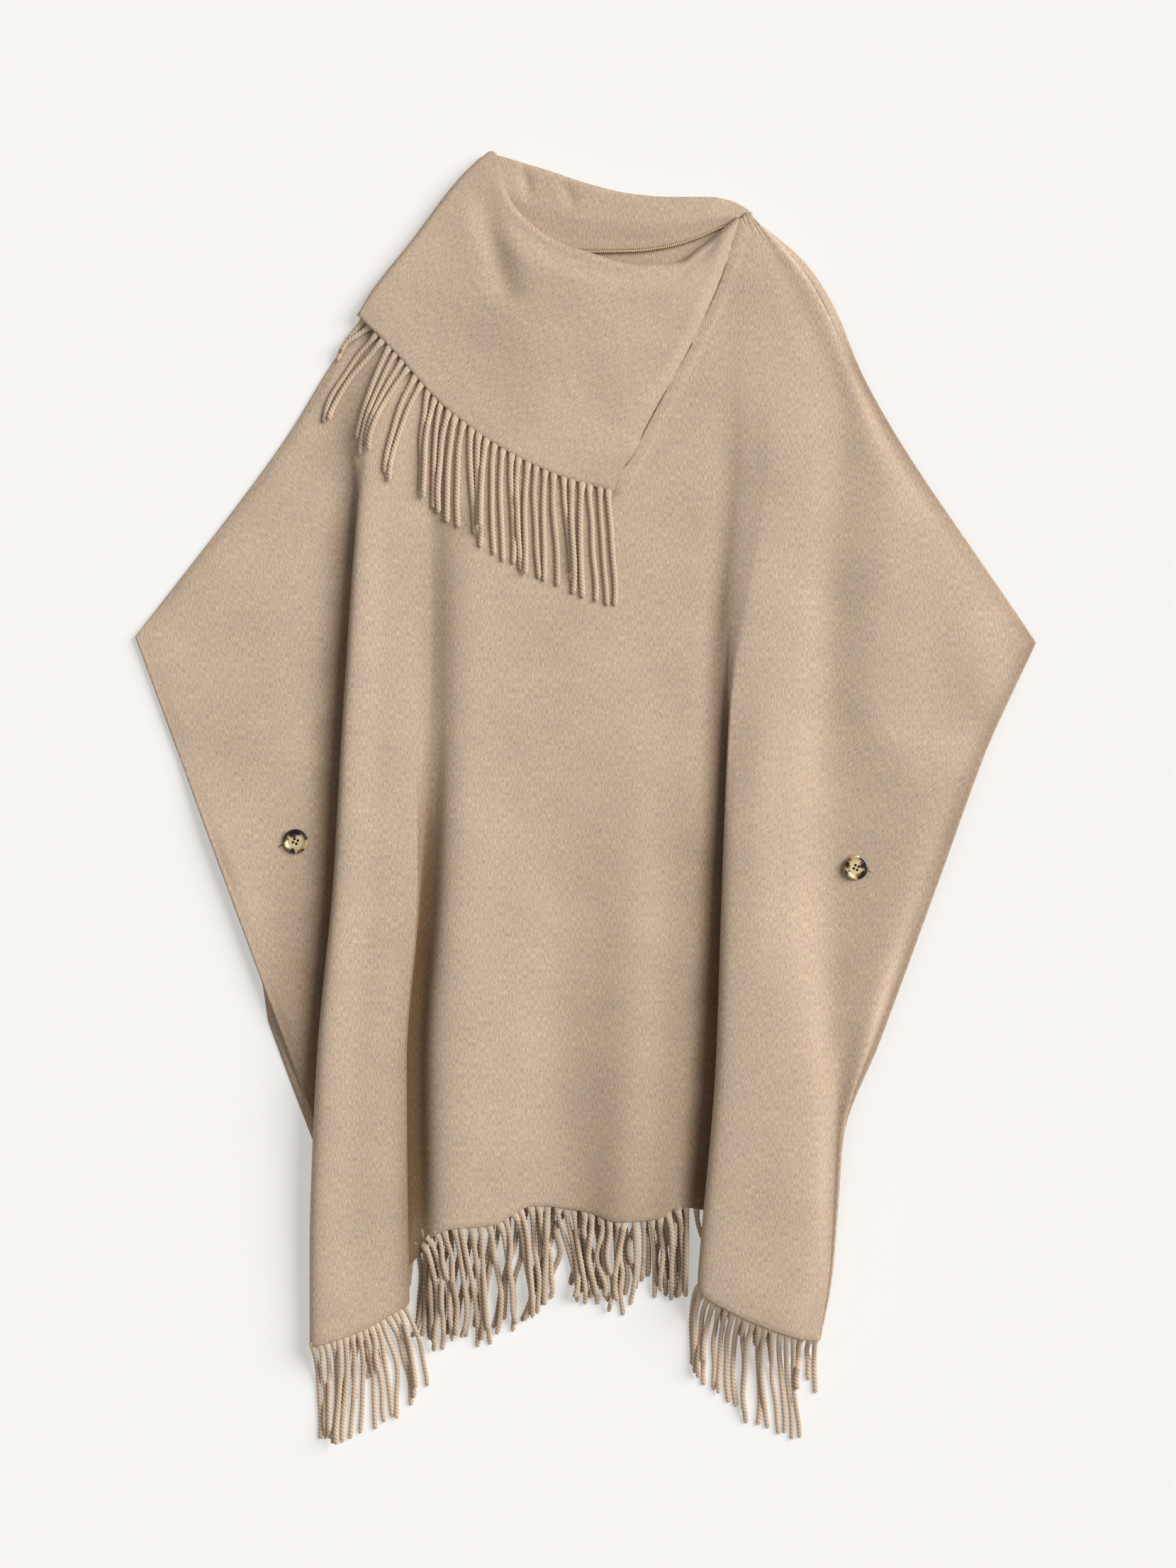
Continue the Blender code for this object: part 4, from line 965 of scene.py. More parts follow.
# ---------------------------------------------------------------- fringe
class Relief:
    """Heights of what strands fall on, on a level grid of 1 mm cells."""

    def __init__(self, low, high, tree):
        self.low = metres(low)
        x, y = (np.arange(a, b + 1) * MM for a, b in zip(low, high))
        x, y = np.meshgrid(x, y, indexing="ij")
        self.top = surface_below(tree, x, y)

    def cell(self, plan):
        """Numbers of the cells nearest to places in plan."""
        place = np.rint((plan - self.low) / MM).astype(int)
        return tuple(np.clip(place[..., k], 0, self.top.shape[k] - 1) for k in range(2))

    def under(self, plan, half):
        """The highest place across the middle of a strand's width, at each step."""
        side = outward(plan) * 0.6 * half
        return np.max([self.top[self.cell(plan + k * side)] for k in (-1, 0, 1)], axis=0)

    def press(self, plan, z, half):
        """Adds a laid strand: at a distance d from its line it reaches
        z + FLATNESS sqrt(half^2 - d^2)."""
        reach = int(half / MM) + 1
        offsets = np.stack(np.meshgrid(*[np.arange(-reach, reach + 1)] * 2), -1).reshape(-1, 2)
        spots = plan[:, None] + offsets * MM
        room = half ** 2 - (offsets ** 2).sum(-1) * MM ** 2
        rise = np.where(room > 0, z[:, None] + FLATNESS * np.sqrt(np.maximum(room, 0)), 0)
        np.maximum.at(self.top, self.cell(spots), rise)


def strand_plans(edge, tips, steps, draw, leave, sway):
    """Lines in plan from even places along an edge to their tips: a cubic Hermite curve that
    leaves square to the edge, hangs down at its end, and sways by a sine on the way."""
    run = run_of(edge[:, :2])
    count = len(tips)
    at = (np.arange(count) + 0.5 + draw.uniform(-0.12, 0.12, count)) / count * run[-1]
    root, way = (np.stack([np.interp(at, run, column) for column in values.T], -1)
                 for values in (edge, -outward(edge)))
    start, end = root[:, :2] - ROOT_INSET * way, metres(tips)
    reach = np.linalg.norm(end - start, axis=1, keepdims=True)
    lean = draw.normal(0, 0.2 * sway, count)
    hang = np.stack([np.sin(lean), -np.cos(lean)], -1)
    t = np.linspace(0, 1, steps)[None, :, None]
    start, end, way, hang, reach = (a[:, None] for a in (start, end, way, hang, reach))
    plan = (mix(start, end, t * t * (3 - 2 * t)) + leave * reach * way * t * (1 - t) ** 2
            + 0.8 * reach * hang * t * t * (t - 1))
    run = unit(end - start)
    side = np.stack([-run[..., 1], run[..., 0]], -1)
    size = draw.normal(0, sway * MM, (count, 1, 1))
    turns = draw.uniform(1.2, 2.4, (count, 1, 1))
    return plan + side * size * np.sin(np.pi * t) * np.sin(2 * np.pi * turns * t), root[:, 2]


def laid(plans, start_heights, half, relief, drop):
    """Heights of strands laid one after another: each falls from its root over the share drop,
    is relaxed by repeated means of neighbours, never below the relief, and adds to it."""
    shares = np.linspace(0, 1, plans.shape[1])
    heights = np.empty(plans.shape[:2])
    for k, plan in enumerate(plans):
        support = relief.under(plan, half) + FLATNESS * half + CLEARANCE
        support[shares < HELD] = 0
        z = np.maximum(mix(start_heights[k], support, smooth(0.02, drop, shares)), support)
        for _ in range(RELAX_PASSES):
            z[1:-1] = np.maximum(mix(z[1:-1], 0.5 * (z[:-2] + z[2:]), 0.5), support[1:-1])
            z[-1] = z[-2]
        heights[k] = z
        relief.press(plan, z, half)
    return heights


def strands(name, plans, heights, width, pitch, draw, material, tone):
    """Two-ply strands: at the angle a round its line a strand's radius is
    R (0.9 + 0.1 cos 2(a - 2 pi s / pitch)). Roots are wide and flat, and ends are blunt."""
    paths = np.concatenate([plans, heights[..., None]], -1)
    count = len(paths)
    step = np.linalg.norm(np.diff(paths, axis=1), axis=-1)
    s = summed(step, 1)[..., None]
    whole = s[:, -1:]
    corners = np.arange(STRAND_CORNERS) * 2 * np.pi / STRAND_CORNERS
    root = 1 - smooth_mm(3, 13, s)
    twist = 2 * np.pi * s / pitch + draw.uniform(0, 2 * np.pi, (count, 1, 1))
    ply = 0.5 + 0.5 * np.cos(2 * (corners - twist))
    size = 0.5 * width * draw.uniform(0.92, 1.08, (count, 1, 1))
    size = size * mix(1, 0.6, smooth(whole - 2.5 * MM, whole, s))
    radius = size * mix(0.8 + 0.2 * ply, 0.9, root)
    profile = np.stack([radius * np.cos(corners) * mix(1, 1.4, root),
                        radius * np.sin(corners) * mix(FLATNESS, 0.4, root)], -1)
    # a tone of its own at random, plus its row's painted shade
    shade = draw.uniform(0, 1, (count, 1, 1)) + tone
    return tubes(name, paths, profile, material,
                 [("ply", mix(ply, 0.75, root)), ("shade", shade)])


# ---------------------------------------------------------------- finishes
class Value:
    """The output of a node as a number in an expression: each operator adds a Math node."""

    def __init__(self, recipe, socket):
        self.recipe, self.socket = recipe, socket

    def math(self, operation, *terms):
        return self.recipe.node("ShaderNodeMath", {"operation": operation}, terms)

    def __add__(self, other):
        return self.math("ADD", self, other)

    def __sub__(self, other):
        return self.math("SUBTRACT", self, other)

    def __rsub__(self, other):
        return self.math("SUBTRACT", other, self)

    def __mul__(self, other):
        return self.math("MULTIPLY", self, other)

    def __truediv__(self, other):
        return self.math("DIVIDE", self, other)

    def __pow__(self, other):
        return self.math("POWER", self, other)

    def ramp(self, low, high):
        """0 at low, 1 at high and an S between them."""
        return self.recipe.node("ShaderNodeMapRange", {"interpolation_type": "SMOOTHSTEP"},
                                [self, low, high, 0.0, 1.0])

    __radd__, __rmul__ = __add__, __mul__


class Recipe:
    """The nodes of one material."""

    def __init__(self, name, **shader):
        self.material = bpy.data.materials.new(name)
        self.material.use_nodes = True
        self.tree = self.material.node_tree
        self.shader = self.tree.nodes["Principled BSDF"]
        for socket, value in shader.items():
            label = socket.replace("_", " ").title().replace("Ior", "IOR")
            self.shader.inputs[label].default_value = value

    def plug(self, socket, value):
        """Fills a socket with a number or a colour, or links an expression to it."""
        if isinstance(value, Value):
            self.tree.links.new(value.socket, socket)
        else:
            socket.default_value = value

    def node(self, kind, settings=(), sockets=(), output=0):
        """A node of the kind, with its settings, and its sockets filled by number or name."""
        node = self.tree.nodes.new(kind)
        for key, value in dict(settings).items():
            setattr(node, key, value)
        for key, value in sockets.items() if isinstance(sockets, dict) else enumerate(sockets):
            self.plug(node.inputs[key], value)
        return Value(self, node.outputs[output])

    def mixed(self, share, a, b, blend="MIX"):
        """The colour a where share is 0, b where it is 1."""
        return self.node("ShaderNodeMix", {"data_type": "RGBA", "blend_type": blend},
                         {0: share, 6: a, 7: b}, output=2)

    def noise(self, vector, scale, detail=2.0, roughness=0.5):
        return self.node("ShaderNodeTexNoise", {}, {
            "Vector": vector, "Scale": scale, "Detail": detail, "Roughness": roughness})

    def stretched(self, vector, scale, place=(0.0, 0.0, 0.0)):
        """Coordinates moved to the place and multiplied by the scale."""
        return self.node("ShaderNodeMapping", {}, {
            "Vector": vector, "Location": place, "Scale": scale})

    def grain(self, vector, width, length, place=(0.0, 0.0, 0.0), detail=2.0, roughness=0.6):
        """Noise whose grains are so many millimetres wide and long."""
        return self.noise(self.stretched(vector, (1 / (width * MM), 1 / (length * MM), 1.0), place),
                          1.0, detail, roughness)

    def attribute(self, name):
        return self.node("ShaderNodeAttribute", {"attribute_name": name}, output=2)

    def lit(self, color, lights):
        """The colour times a light for each of its channels."""
        light = self.node("ShaderNodeCombineColor", {}, lights)
        return self.mixed(1.0, color, light, "MULTIPLY")

    def finish(self, color, height=None, depth=0.0, strength=0.0):
        """The material, coloured, with its surface raised by height times depth."""
        self.plug(self.shader.inputs["Base Color"], color)
        if height is not None:
            bump = self.node("ShaderNodeBump", {}, {
                "Strength": strength, "Distance": depth, "Height": height})
            self.plug(self.shader.inputs["Normal"], bump)
        return self.material


def scaled(color, factor, tilt=(1.0, 1.0, 1.0)):
    """A colour made lighter or darker, and tilted in hue, with alpha 1."""
    return (*[min(c * factor * k, 1.0) for c, k in zip(color, tilt)], 1.0)


FELTED = {"roughness": 0.95, "specular_ior_level": 0.2, "sheen_weight": 0.1,
          "sheen_roughness": 0.6}
# Painted shade: how much of red, green and blue it takes from the base colour in the deepest crease
CREASE_SHADE_LOSS = (0.69, 0.76, 0.83)    # red, green and blue that the deepest crease takes away


def wool_finish(name, color, depth):
    """Brushed melton: short fibres that run down the cloth, in a heather of three close tints, with
    painted shade, darker and warmer, in its creases and along its edges.
    """
    recipe = Recipe(name, **FELTED)
    cloth_uv = recipe.node("ShaderNodeUVMap", {"uv_map": "cloth"})
    drift = recipe.node("ShaderNodeTexNoise", {}, {
        "Vector": cloth_uv, "Scale": 90.0, "Detail": 2.0}, output=1)
    drift = recipe.node("ShaderNodeVectorMath", {"operation": "MULTIPLY"},
                        [drift, (2.4 * MM, 1.0 * MM, 0.0)])
    bent = recipe.node("ShaderNodeVectorMath", {"operation": "ADD"}, [cloth_uv, drift])
    fibres = recipe.grain(bent, 0.9, 4.2, detail=3.0)
    fine = recipe.grain(bent, 0.45, 1.4, (3.1, 1.7, 0.0))
    heather = recipe.grain(bent, 2.2, 7.0, (7.7, 2.9, 0.0), roughness=0.55)
    cloud = recipe.noise(cloth_uv, 45.0, 3.0)
    patchy = recipe.noise(recipe.stretched(cloth_uv, (1.0, 1.0, 1.0), (4.0, 9.0, 0.0)), 14.0, 2.0)
    warm = recipe.mixed(heather.ramp(0.35, 0.65), scaled(color, 1.03, (1.0, 1.02, 0.95)),
                        scaled(color, 0.98, (1.01, 0.97, 1.02)))
    toned = recipe.mixed(cloud.ramp(0.35, 0.7) * 0.45, warm,
                         scaled(color, 0.95, (0.97, 1.0, 1.05)))
    light = -0.04 + 1.36 * fibres + 0.52 * fine + 0.2 * patchy
    # painted shade: the colour darkened, and made warmer, where the piece's attribute marks
    # creases, edges and broad shade
    deep = recipe.attribute("painted_shade")
    toned = recipe.lit(toned, [light * (1.0 - loss * deep) for loss in CREASE_SHADE_LOSS])
    return recipe.finish(toned, fibres * 0.7 + fine * 0.3, depth, 0.7)


def yarn_finish(name, color, depth):
    """Twisted yarn: painted shade where its two plies meet, and on each strand a tone of its own at
    random plus the painted shade of its row.
    """
    recipe = Recipe(name, **FELTED)
    place = recipe.node("ShaderNodeTexCoord", {}, output=3)
    fuzz = recipe.noise(place, 1500.0, 3.0, 0.6)
    ply, shade = recipe.attribute("ply"), recipe.attribute("shade")
    # painted shade where the plies meet, a tone of its own at random, and the row's painted shade
    light = (0.77 + 0.28 * ply.ramp(0.0, 0.7)) * (0.95 + 0.12 * shade) * (0.86 + 0.28 * fuzz)
    return recipe.finish(recipe.lit(scaled(color, 1.0), [light] * 3), fuzz, depth, 0.5)


def thread_finish(name, color):
    """Sewing thread, its own turns showing as fine ribs."""
    recipe = Recipe(name, roughness=0.65, sheen_weight=0.1)
    place = recipe.node("ShaderNodeTexCoord", {}, output=3)
    turns = recipe.noise(place, 2600.0, 2.0)
    return recipe.finish(recipe.lit(scaled(color, 1.0), [0.8 + 0.4 * turns] * 3),
                         turns, 0.2 * MM, 0.6)


def horn_finish(name, middle, radius, rim, spots, settings):
    """Marbled horn, polished: cream, a rim that is black over part of its turn, black and brown
    clouds at their places in shares of the radius, and painted shade round its four holes."""
    recipe = Recipe(name, roughness=0.2, coat_weight=0.4, coat_roughness=0.08)
    place = recipe.stretched(recipe.node("ShaderNodeTexCoord", {}, output=3),
                             (1 / radius,) * 3, tuple(-c / radius for c in middle))
    x, y, _z = (recipe.node("ShaderNodeSeparateXYZ", {}, [place], output=k) for k in range(3))
    marble = recipe.noise(place, 2.6, 3.0, 0.55)
    veins = recipe.noise(place, 6.2, 3.0, 0.6)
    wander = (marble - 0.5) * 2.0 + (veins - 0.5) * 0.9
    reach = (x * x + y * y) ** 0.5
    turn, narrow = math.radians(rim[0]), math.cos(math.radians(rim[1]))
    side = (x * math.cos(turn) + y * math.sin(turn)) / reach
    black = (side + wander * 0.15).ramp(narrow - 0.06, narrow + 0.08) * (reach - wander * 0.07
                                                                        ).ramp(0.71, 0.81)
    brown = (veins * 0.7 + marble * 0.3).ramp(0.53, 0.64) * reach.ramp(0.3, 0.8) * 0.7
    for tone, at_x, at_y, size in spots:
        away = ((x - at_x) * (x - at_x) + (y - at_y) * (y - at_y)) ** 0.5
        spot = 1 - (away / size + wander).ramp(0.75, 1.2)
        if tone == "black":
            black = black.math("MAXIMUM", black, spot)
        brown = brown.math("MAXIMUM", brown, 1 - (away / (size + 0.06) + wander).ramp(0.8, 1.25))
    # painted shade: black in and round each of the four holes
    cos, sin = math.cos(HOLE_TURN), math.sin(HOLE_TURN)
    u, v = ((part * part) ** 0.5 for part in (x * cos + y * sin, y * cos - x * sin))
    for a, b in ((u, v), (v, u)):
        away = ((a - HOLE_OFFSET) * (a - HOLE_OFFSET) + b * b) ** 0.5
        black = black.math("MAXIMUM", black, 1 - away.ramp(0.1, 0.125))
    cream = settings.horn_cream
    body = recipe.mixed(veins, scaled(cream, 1.1), scaled(cream, 0.84, (1.0, 0.95, 0.8)))
    body = recipe.mixed(reach.ramp(0.4, 0.85) * 0.7, body, scaled(cream, 0.8, (1.06, 0.86, 0.6)))
    body = recipe.mixed(brown, body, scaled(settings.horn_brown, 1.0))
    return recipe.finish(recipe.mixed(black, body, scaled(settings.horn_black, 1.0)))


def floor_finish(color, glow):
    """Smooth translucent board lit from below, barely mottled."""
    recipe = Recipe("studio_floor", roughness=0.85, specular_ior_level=0.0,
                    emission_color=(1.0, 0.996, 0.985, 1.0), emission_strength=glow)
    place = recipe.node("ShaderNodeTexCoord", {}, output=3)
    cloud = recipe.noise(place, 3.0, 2.0)
    return recipe.finish(recipe.mixed(cloud, scaled(color, 1.0), scaled(color, 0.997)))


def material_named(name, make, *values):
    """The material of that name, made on first use."""
    return bpy.data.materials.get(name) or make(name, *values)


def wool(settings):
    """The finish of all the cloth."""
    return material_named("brushed_wool", wool_finish, settings.wool_color, settings.nap_depth)


def yarn(settings):
    """The finish of all the fringe."""
    return material_named("fringe_yarn", yarn_finish, settings.yarn_color, 0.3 * MM)


# ---------------------------------------------------------------- settings
def length(name, description, default):
    """A property in metres."""
    return bpy.props.FloatProperty(name=name, description=description, default=default,
                                   unit="LENGTH", subtype="DISTANCE", precision=5)


def tint(name, description, default):
    """A colour property."""
    return bpy.props.FloatVectorProperty(name=name, description=description, default=default,
                                         subtype="COLOR", min=0.0, max=1.0)


class PonchoClothSettings(bpy.types.PropertyGroup):
    thickness: length("Thickness", "Thickness of the wool cloth", CLOTH)
    nap_depth: length("Nap", "Depth of the brushed fibres", 0.5 * MM)
    wool_color: tint("Wool", "Colour of the cloth", (0.568, 0.439, 0.332))


class PonchoTrimSettings(bpy.types.PropertyGroup):
    strand_width: length("Strand", "Width of one twisted strand of fringe", STRAND)
    twist: length("Twist", "Length of one whole turn of a strand", PITCH)
    yarn_color: tint("Yarn", "Colour of the fringe", (0.61, 0.47, 0.35))
    stitch_color: tint("Stitches", "Colour of the chain stitch at the neck", (0.62, 0.46, 0.28))
    horn_cream: tint("Horn, light", "Light parts of the buttons", (0.62, 0.53, 0.33))
    horn_brown: tint("Horn, brown", "Brown clouds of the buttons", (0.20, 0.09, 0.035))
    horn_black: tint("Horn, black", "Dark side of the buttons", (0.012, 0.009, 0.008))


class PonchoStageSettings(bpy.types.PropertyGroup):
    camera_height: length("Camera height", "Height of the lens above the floor", 3.2)
    view_width: length("View width", "Width of floor that the camera sees", 0.954)
    key_strength: bpy.props.FloatProperty(
        name="Key light", description="Strength of the soft light at the upper right",
        default=4.0)
    key_spread: bpy.props.FloatProperty(
        name="Key spread", description="Angle that the soft light fills as seen from the cloth",
        default=math.radians(44), subtype="ANGLE", unit="ROTATION")
    sky: bpy.props.FloatProperty(
        name="Fill", description="Strength of the even light all round", default=0.16)
    bounce: bpy.props.FloatProperty(
        name="Bounce", description="Strength of the broad weak light from the left",
        default=0.5)
    floor_color: tint("Floor", "Colour of the floor", (0.56, 0.555, 0.55))
    floor_glow: bpy.props.FloatProperty(
        name="Floor glow", description="Even light of a floor lit from below", default=0.385)


# ---------------------------------------------------------------- operators
NAMES = [name for name, *_ in ACROSS]
KEPT = {}                           # grids that a later piece is sewn to
FLOOR_REACH = 6.0
CAMERA_PLACE = (0.0020, 0.01035)    # x and y of the lens


def cut_of(points):
    """(width, length) and area of a sheet laid out flat: its longest row and column, and the
    sum of its cells, each half the cross product of its diagonals."""
    sizes = cloth_lengths(points, 0)
    a, b = points[1:, 1:] - points[:-1, :-1], points[1:, :-1] - points[:-1, 1:]
    area = 0.5 * np.linalg.norm(np.cross(a, b), axis=-1).sum()
    return (float(sizes[..., 0].max()), float(sizes[..., 1].max())), float(area)


def declare(points):
    """Works out a sheet's cut, its size and area, and keeps neither."""
    size, area = cut_of(points)


class PONCHO_OT_stage(bpy.types.Operator):
    """Floor, soft studio light and a camera that looks straight down"""
    bl_idname = "poncho.stage"
    bl_label = "Stage"

    def execute(self, context):
        settings = context.scene.poncho_stage
        scene = context.scene
        scene.view_settings.view_transform = "Standard"
        mesh = bpy.data.meshes.new("floor")
        mesh.from_pydata([(x * FLOOR_REACH, y * FLOOR_REACH, 0)
                          for x, y in ((-1, -1), (1, -1), (1, 1), (-1, 1))], [], [(0, 1, 2, 3)])
        mesh.materials.append(floor_finish(settings.floor_color, settings.floor_glow))
        floor = placed("floor", mesh)

        world = bpy.data.worlds.new("studio")
        world.use_nodes = True
        sky = world.node_tree.nodes["Background"]
        sky.inputs["Color"].default_value = (1.0, 0.97, 0.93, 1)
        sky.inputs["Strength"].default_value = settings.sky
        scene.world = world

        for name, way, strength, spread, tone in (
                ("key", (0.76, 0.34, 0.54), settings.key_strength, settings.key_spread,
                 (1.0, 0.985, 0.96)),
                ("bounce", (-0.6, -0.1, 0.8), settings.bounce, math.radians(80),
                 (1.0, 0.95, 0.88))):
            light = bpy.data.lights.new(name, "SUN")
            light.angle, light.energy, light.color = spread, strength, tone
            lamp = placed(name, light)
            way = Vector(way).normalized()
            lamp.location = way * 3.0
            lamp.rotation_euler = way.to_track_quat("Z", "Y").to_euler()

        lens = bpy.data.cameras.new("camera")
        lens.sensor_fit = "HORIZONTAL"
        lens.lens = lens.sensor_width * settings.camera_height / settings.view_width
        lens.clip_start, lens.clip_end = 0.05, 30.0
        camera = placed("camera", lens)
        camera.location = (*CAMERA_PLACE, settings.camera_height)
        scene.camera = camera
        return {"FINISHED"}


class PONCHO_OT_panels(bpy.types.Operator):
    """Front and back panels, the front draped in its folds"""
    bl_idname = "poncho.panels"
    bl_label = "Front and back"

    def execute(self, context):
        settings = context.scene.poncho_cloth
        nape = back_collar_grid()
        back_points = back_grid(nape[-1])
        back = cloth("back", back_points, settings, back_points.shape[1] // 2, level_lengths)
        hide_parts("back_panel")
        points, place = front_grid()
        points = front_with_seams(points)
        neck = points[0]
        points = with_allowance(points)
        middle = int(np.argmin(np.abs(points[-1, :, 0])))
        front = cloth("front", points, settings, middle, level_lengths)
        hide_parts("front_panel")
        KEPT.update(front=points, neck=neck, place=place, back=back_points, back_collar=nape)
        return {"FINISHED"}


class PONCHO_OT_collar(bpy.types.Operator):
    """Scarf collar: the stretch over the chest and the one behind the neck"""
    bl_idname = "poncho.collar"
    bl_label = "Scarf collar"

    def execute(self, context):
        settings = context.scene.poncho_cloth
        objects = bpy.data.objects
        chest, nape = collar_grid(KEPT["neck"], tree_of(objects["front"])), KEPT["back_collar"]
        piece = cloth("scarf_front", chest, settings, chest.shape[1] // 2)
        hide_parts("collar_front")
        piece = cloth("scarf_back", nape, settings, nape.shape[1] // 2)
        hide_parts("collar_back")
        KEPT.update(collar=chest)

        front = KEPT["front"]
        x, y, _z = np.moveaxis(front, -1, 0)
        around = surroundings(*[objects[name] for name in
                                ("front", "back", "scarf_back", "scarf_front")])
        upper = smooth_mm(180, 260, y)
        shade_creases(objects["front"], around, front, 1.0 - 0.6 * upper, 0.45,
                      edge_shade(front, KEPT["place"], upper), chest[-1], broad_shade(x, y))
        shade_creases(objects["back"], around, KEPT["back"], 0.3, 0.2)
        shade_creases(objects["scarf_back"], around, nape, 0.0, 0.2)
        shade_creases(objects["scarf_front"], around, chest, 0.6, 0.45,
                      broad=dents("scarf_shade", chest[..., 0], chest[..., 1]))
        shade_rim(objects["scarf_back"], nape, 0.3)
        shade_rim(objects["scarf_front"], chest, 0.38)
        return {"FINISHED"}


def hem_between(first, last):
    """The front's hem from one named line to another."""
    place = KEPT["place"]
    return KEPT["front"][-1, (place >= NAMES.index(first)) & (place <= NAMES.index(last))]


class PONCHO_OT_fringe(bpy.types.Operator):
    """Twisted strands along the hems and along the scarf's end"""
    bl_idname = "poncho.fringe"
    bl_label = "Fringe"

    def execute(self, context):
        trims = context.scene.poncho_trims
        half = 0.5 * trims.strand_width
        floor = Relief((-235, -535), (195, -320), tree_of(bpy.data.objects["back"]))
        chest = Relief((-225, 145), (35, 400), tree_of(bpy.data.objects["front"]))
        back_hem = metres([(x, y, 0.5 * CLOTH / MM)
                           for x, y in [(-144, -349), *BACK_HEM[4:11]]])
        runs = [
            # piece, edge, tips, relief, how straight it leaves, share of its drop, sway in mm
            ("fringe_back", back_hem, TIPS["fringe_back"], floor, 0.5, 0.3, 1.4),
            *[("fringe_back", metres([(a, y, 1), (b, y, 1)]),
               TUCKED_TIPS[f"fringe_back_{side}"], floor, 0.5, 0.3, 1.0)
              for side, a, b, y in (("left", -135, -98, -350), ("middle", -6, 30, -330),
                                    ("right", 59, 82, -334))],
            ("fringe_left", hem_between("wing_left", "turn_left"), TUCKED_TIPS["fringe_left"],
             floor, 0.5, 0.3, 1.0),
            ("fringe_right", hem_between("groove_right", "turn_right"),
             TUCKED_TIPS["fringe_right"], floor, 0.5, 0.3, 1.0),
            ("fringe_left", hem_between("crease_left", "brow_left"), TIPS["fringe_left"], floor,
             0.6, 0.5, 0.7),
            ("fringe_center", hem_between("foot_left", "groove_right"), TIPS["fringe_center"],
             floor, 0.6, 0.4, 1.1),
            ("fringe_right", hem_between("crease_right", "trough_right"), TIPS["fringe_right"],
             floor, 0.6, 0.5, 0.7),
            ("collar_fringe", KEPT["collar"][-1, ROLL_STEPS:], TIPS["collar_fringe"], chest,
             0.45, 0.3, 0.35),
        ]
        draw = np.random.default_rng(17)
        made = {}
        for name, edge, tips, relief, leave, drop, sway in runs:
            plans, roots = strand_plans(edge, tips, 150, draw, leave, sway)
            heights = laid(plans, roots, half, relief, drop)
            made.setdefault(name, []).append((plans, heights))
        for name, sets in made.items():
            plans, heights = (np.concatenate(parts) for parts in zip(*sets))
            piece = strands(f"{name}_strands", plans, heights, trims.strand_width, trims.twist,
                            draw, yarn(trims), STRAND_SHADES.get(name, 0.0))
            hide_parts(name)
        return {"FINISHED"}


def bead_paths(line, count, size, share=0.8):
    """Short straight paths laid end to end along a line, each share of its own step long, and
    the profiles of beads along them."""
    at = (np.arange(count) + 0.5) / count
    reach = 0.5 * share / count
    steps = np.linspace(-1, 1, 7)
    paths = spaced(line, np.clip(at[:, None] + reach * steps, 0, 1))
    corners = np.arange(8) * np.pi / 4
    radius = size * np.sqrt(1 - 0.92 * steps[None, :, None] ** 2)
    radius = np.broadcast_to(radius, (count, len(steps), len(corners)))
    return paths, np.stack([radius * np.cos(corners), radius * np.sin(corners)], -1)


class PONCHO_OT_stitching(bpy.types.Operator):
    """Chain stitch along the neck seam, the left buttonhole and the thread at the right"""
    bl_idname = "poncho.stitching"
    bl_label = "Stitching"

    def execute(self, context):
        trims = context.scene.poncho_trims
        thread = material_named("neck_thread", thread_finish, trims.stitch_color)
        seam = KEPT["back_collar"][-1]
        line = seam[seam[:, 0] > NECK_STITCHES_FROM] + metres(NECK_STITCHES_OFF)
        tubes("neck_stitches", *bead_paths(line, NECK_STITCHES, 1.0 * MM, 0.95), thread)

        tree = tree_of(bpy.data.objects["front"])
        # the buttonhole's edging, darkened to paint the shade of its slit
        edging = material_named("buttonhole_thread", thread_finish,
                                tuple(BUTTONHOLE_SHADE * c for c in trims.yarn_color))
        for (name, (start, end, count, size)), material in zip(STITCHES.items(),
                                                               (edging, thread)):
            x, y = (np.linspace(a, b, 12) * MM for a, b in zip(start, end))
            line = np.stack([x, y, surface_below(tree, x, y, 1 * MM) + 0.2 * MM], -1)
            tubes(name, *bead_paths(line, count, size * MM), material)
        return {"FINISHED"}


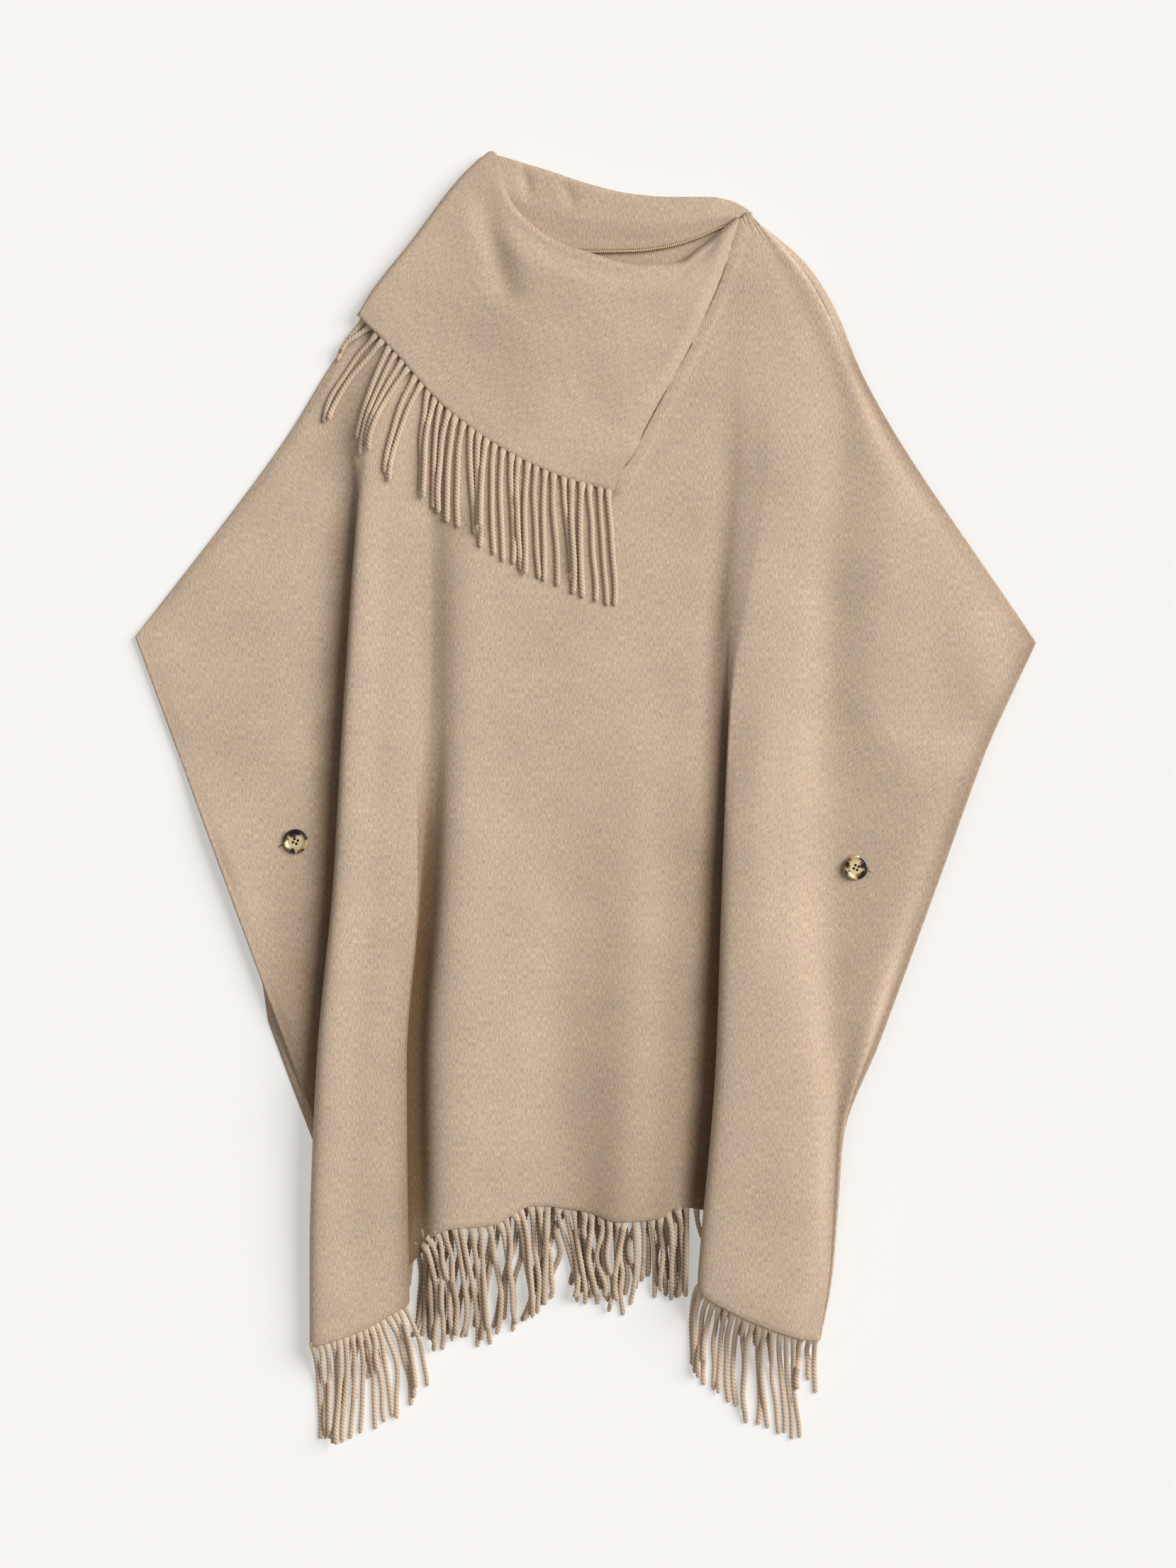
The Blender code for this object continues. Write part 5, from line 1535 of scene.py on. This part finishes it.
class PONCHO_OT_buttons(bpy.types.Operator):
    """Marbled horn finish for the two buttons"""
    bl_idname = "poncho.buttons"
    bl_label = "Buttons"

    def execute(self, context):
        trims = context.scene.poncho_trims
        for name, (rim, spots) in BUTTONS.items():
            low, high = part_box(name)
            middle = tuple(0.5 * (a + b) for a, b in zip(low, high))
            horn = horn_finish(f"horn_{name}", middle, 0.5 * (high[0] - low[0]), rim, spots,
                               trims)
            for slot in frame["nodes"][name].material_slots:
                slot.material = horn
        return {"FINISHED"}


class PONCHO_OT_sheets(bpy.types.Operator):
    """Works out the cut of each sheet of cloth, its size and area, and keeps none of it"""
    bl_idname = "poncho.sheets"
    bl_label = "Sheets of cloth"

    def execute(self, context):
        declare(KEPT["back"])
        declare(KEPT["front"])
        declare(KEPT["collar"])
        declare(KEPT["back_collar"])
        return {"FINISHED"}


class VIEW3D_PT_poncho(bpy.types.Panel):
    """Sizes, colours and pieces of the poncho"""
    bl_label = "Wool poncho"
    bl_space_type = "VIEW_3D"
    bl_region_type = "UI"
    bl_category = "Poncho"

    def draw(self, context):
        for label, settings in (("Cloth", context.scene.poncho_cloth),
                                ("Trims", context.scene.poncho_trims),
                                ("Stage", context.scene.poncho_stage)):
            box = self.layout.box()
            box.label(text=label)
            for key in settings.__annotations__:
                box.prop(settings, key)
        for operator in OPERATORS:
            self.layout.operator(operator.bl_idname)


GROUPS = {"poncho_cloth": PonchoClothSettings, "poncho_trims": PonchoTrimSettings,
          "poncho_stage": PonchoStageSettings}
OPERATORS = (PONCHO_OT_stage, PONCHO_OT_panels, PONCHO_OT_collar, PONCHO_OT_fringe,
             PONCHO_OT_stitching, PONCHO_OT_buttons, PONCHO_OT_sheets)


def register():
    for item in (*GROUPS.values(), *OPERATORS, VIEW3D_PT_poncho):
        bpy.utils.register_class(item)
    for name, group in GROUPS.items():
        setattr(bpy.types.Scene, name, bpy.props.PointerProperty(type=group))


def unregister():
    for name in GROUPS:
        delattr(bpy.types.Scene, name)
    for item in (VIEW3D_PT_poncho, *OPERATORS[::-1], *list(GROUPS.values())[::-1]):
        bpy.utils.unregister_class(item)


def main():
    register()
    for operator in OPERATORS:
        group, action = operator.bl_idname.split(".")
        if getattr(getattr(bpy.ops, group), action)() != {"FINISHED"}:
            raise RuntimeError(f"{operator.bl_label} was not made")


if __name__ == "__main__":
    main()
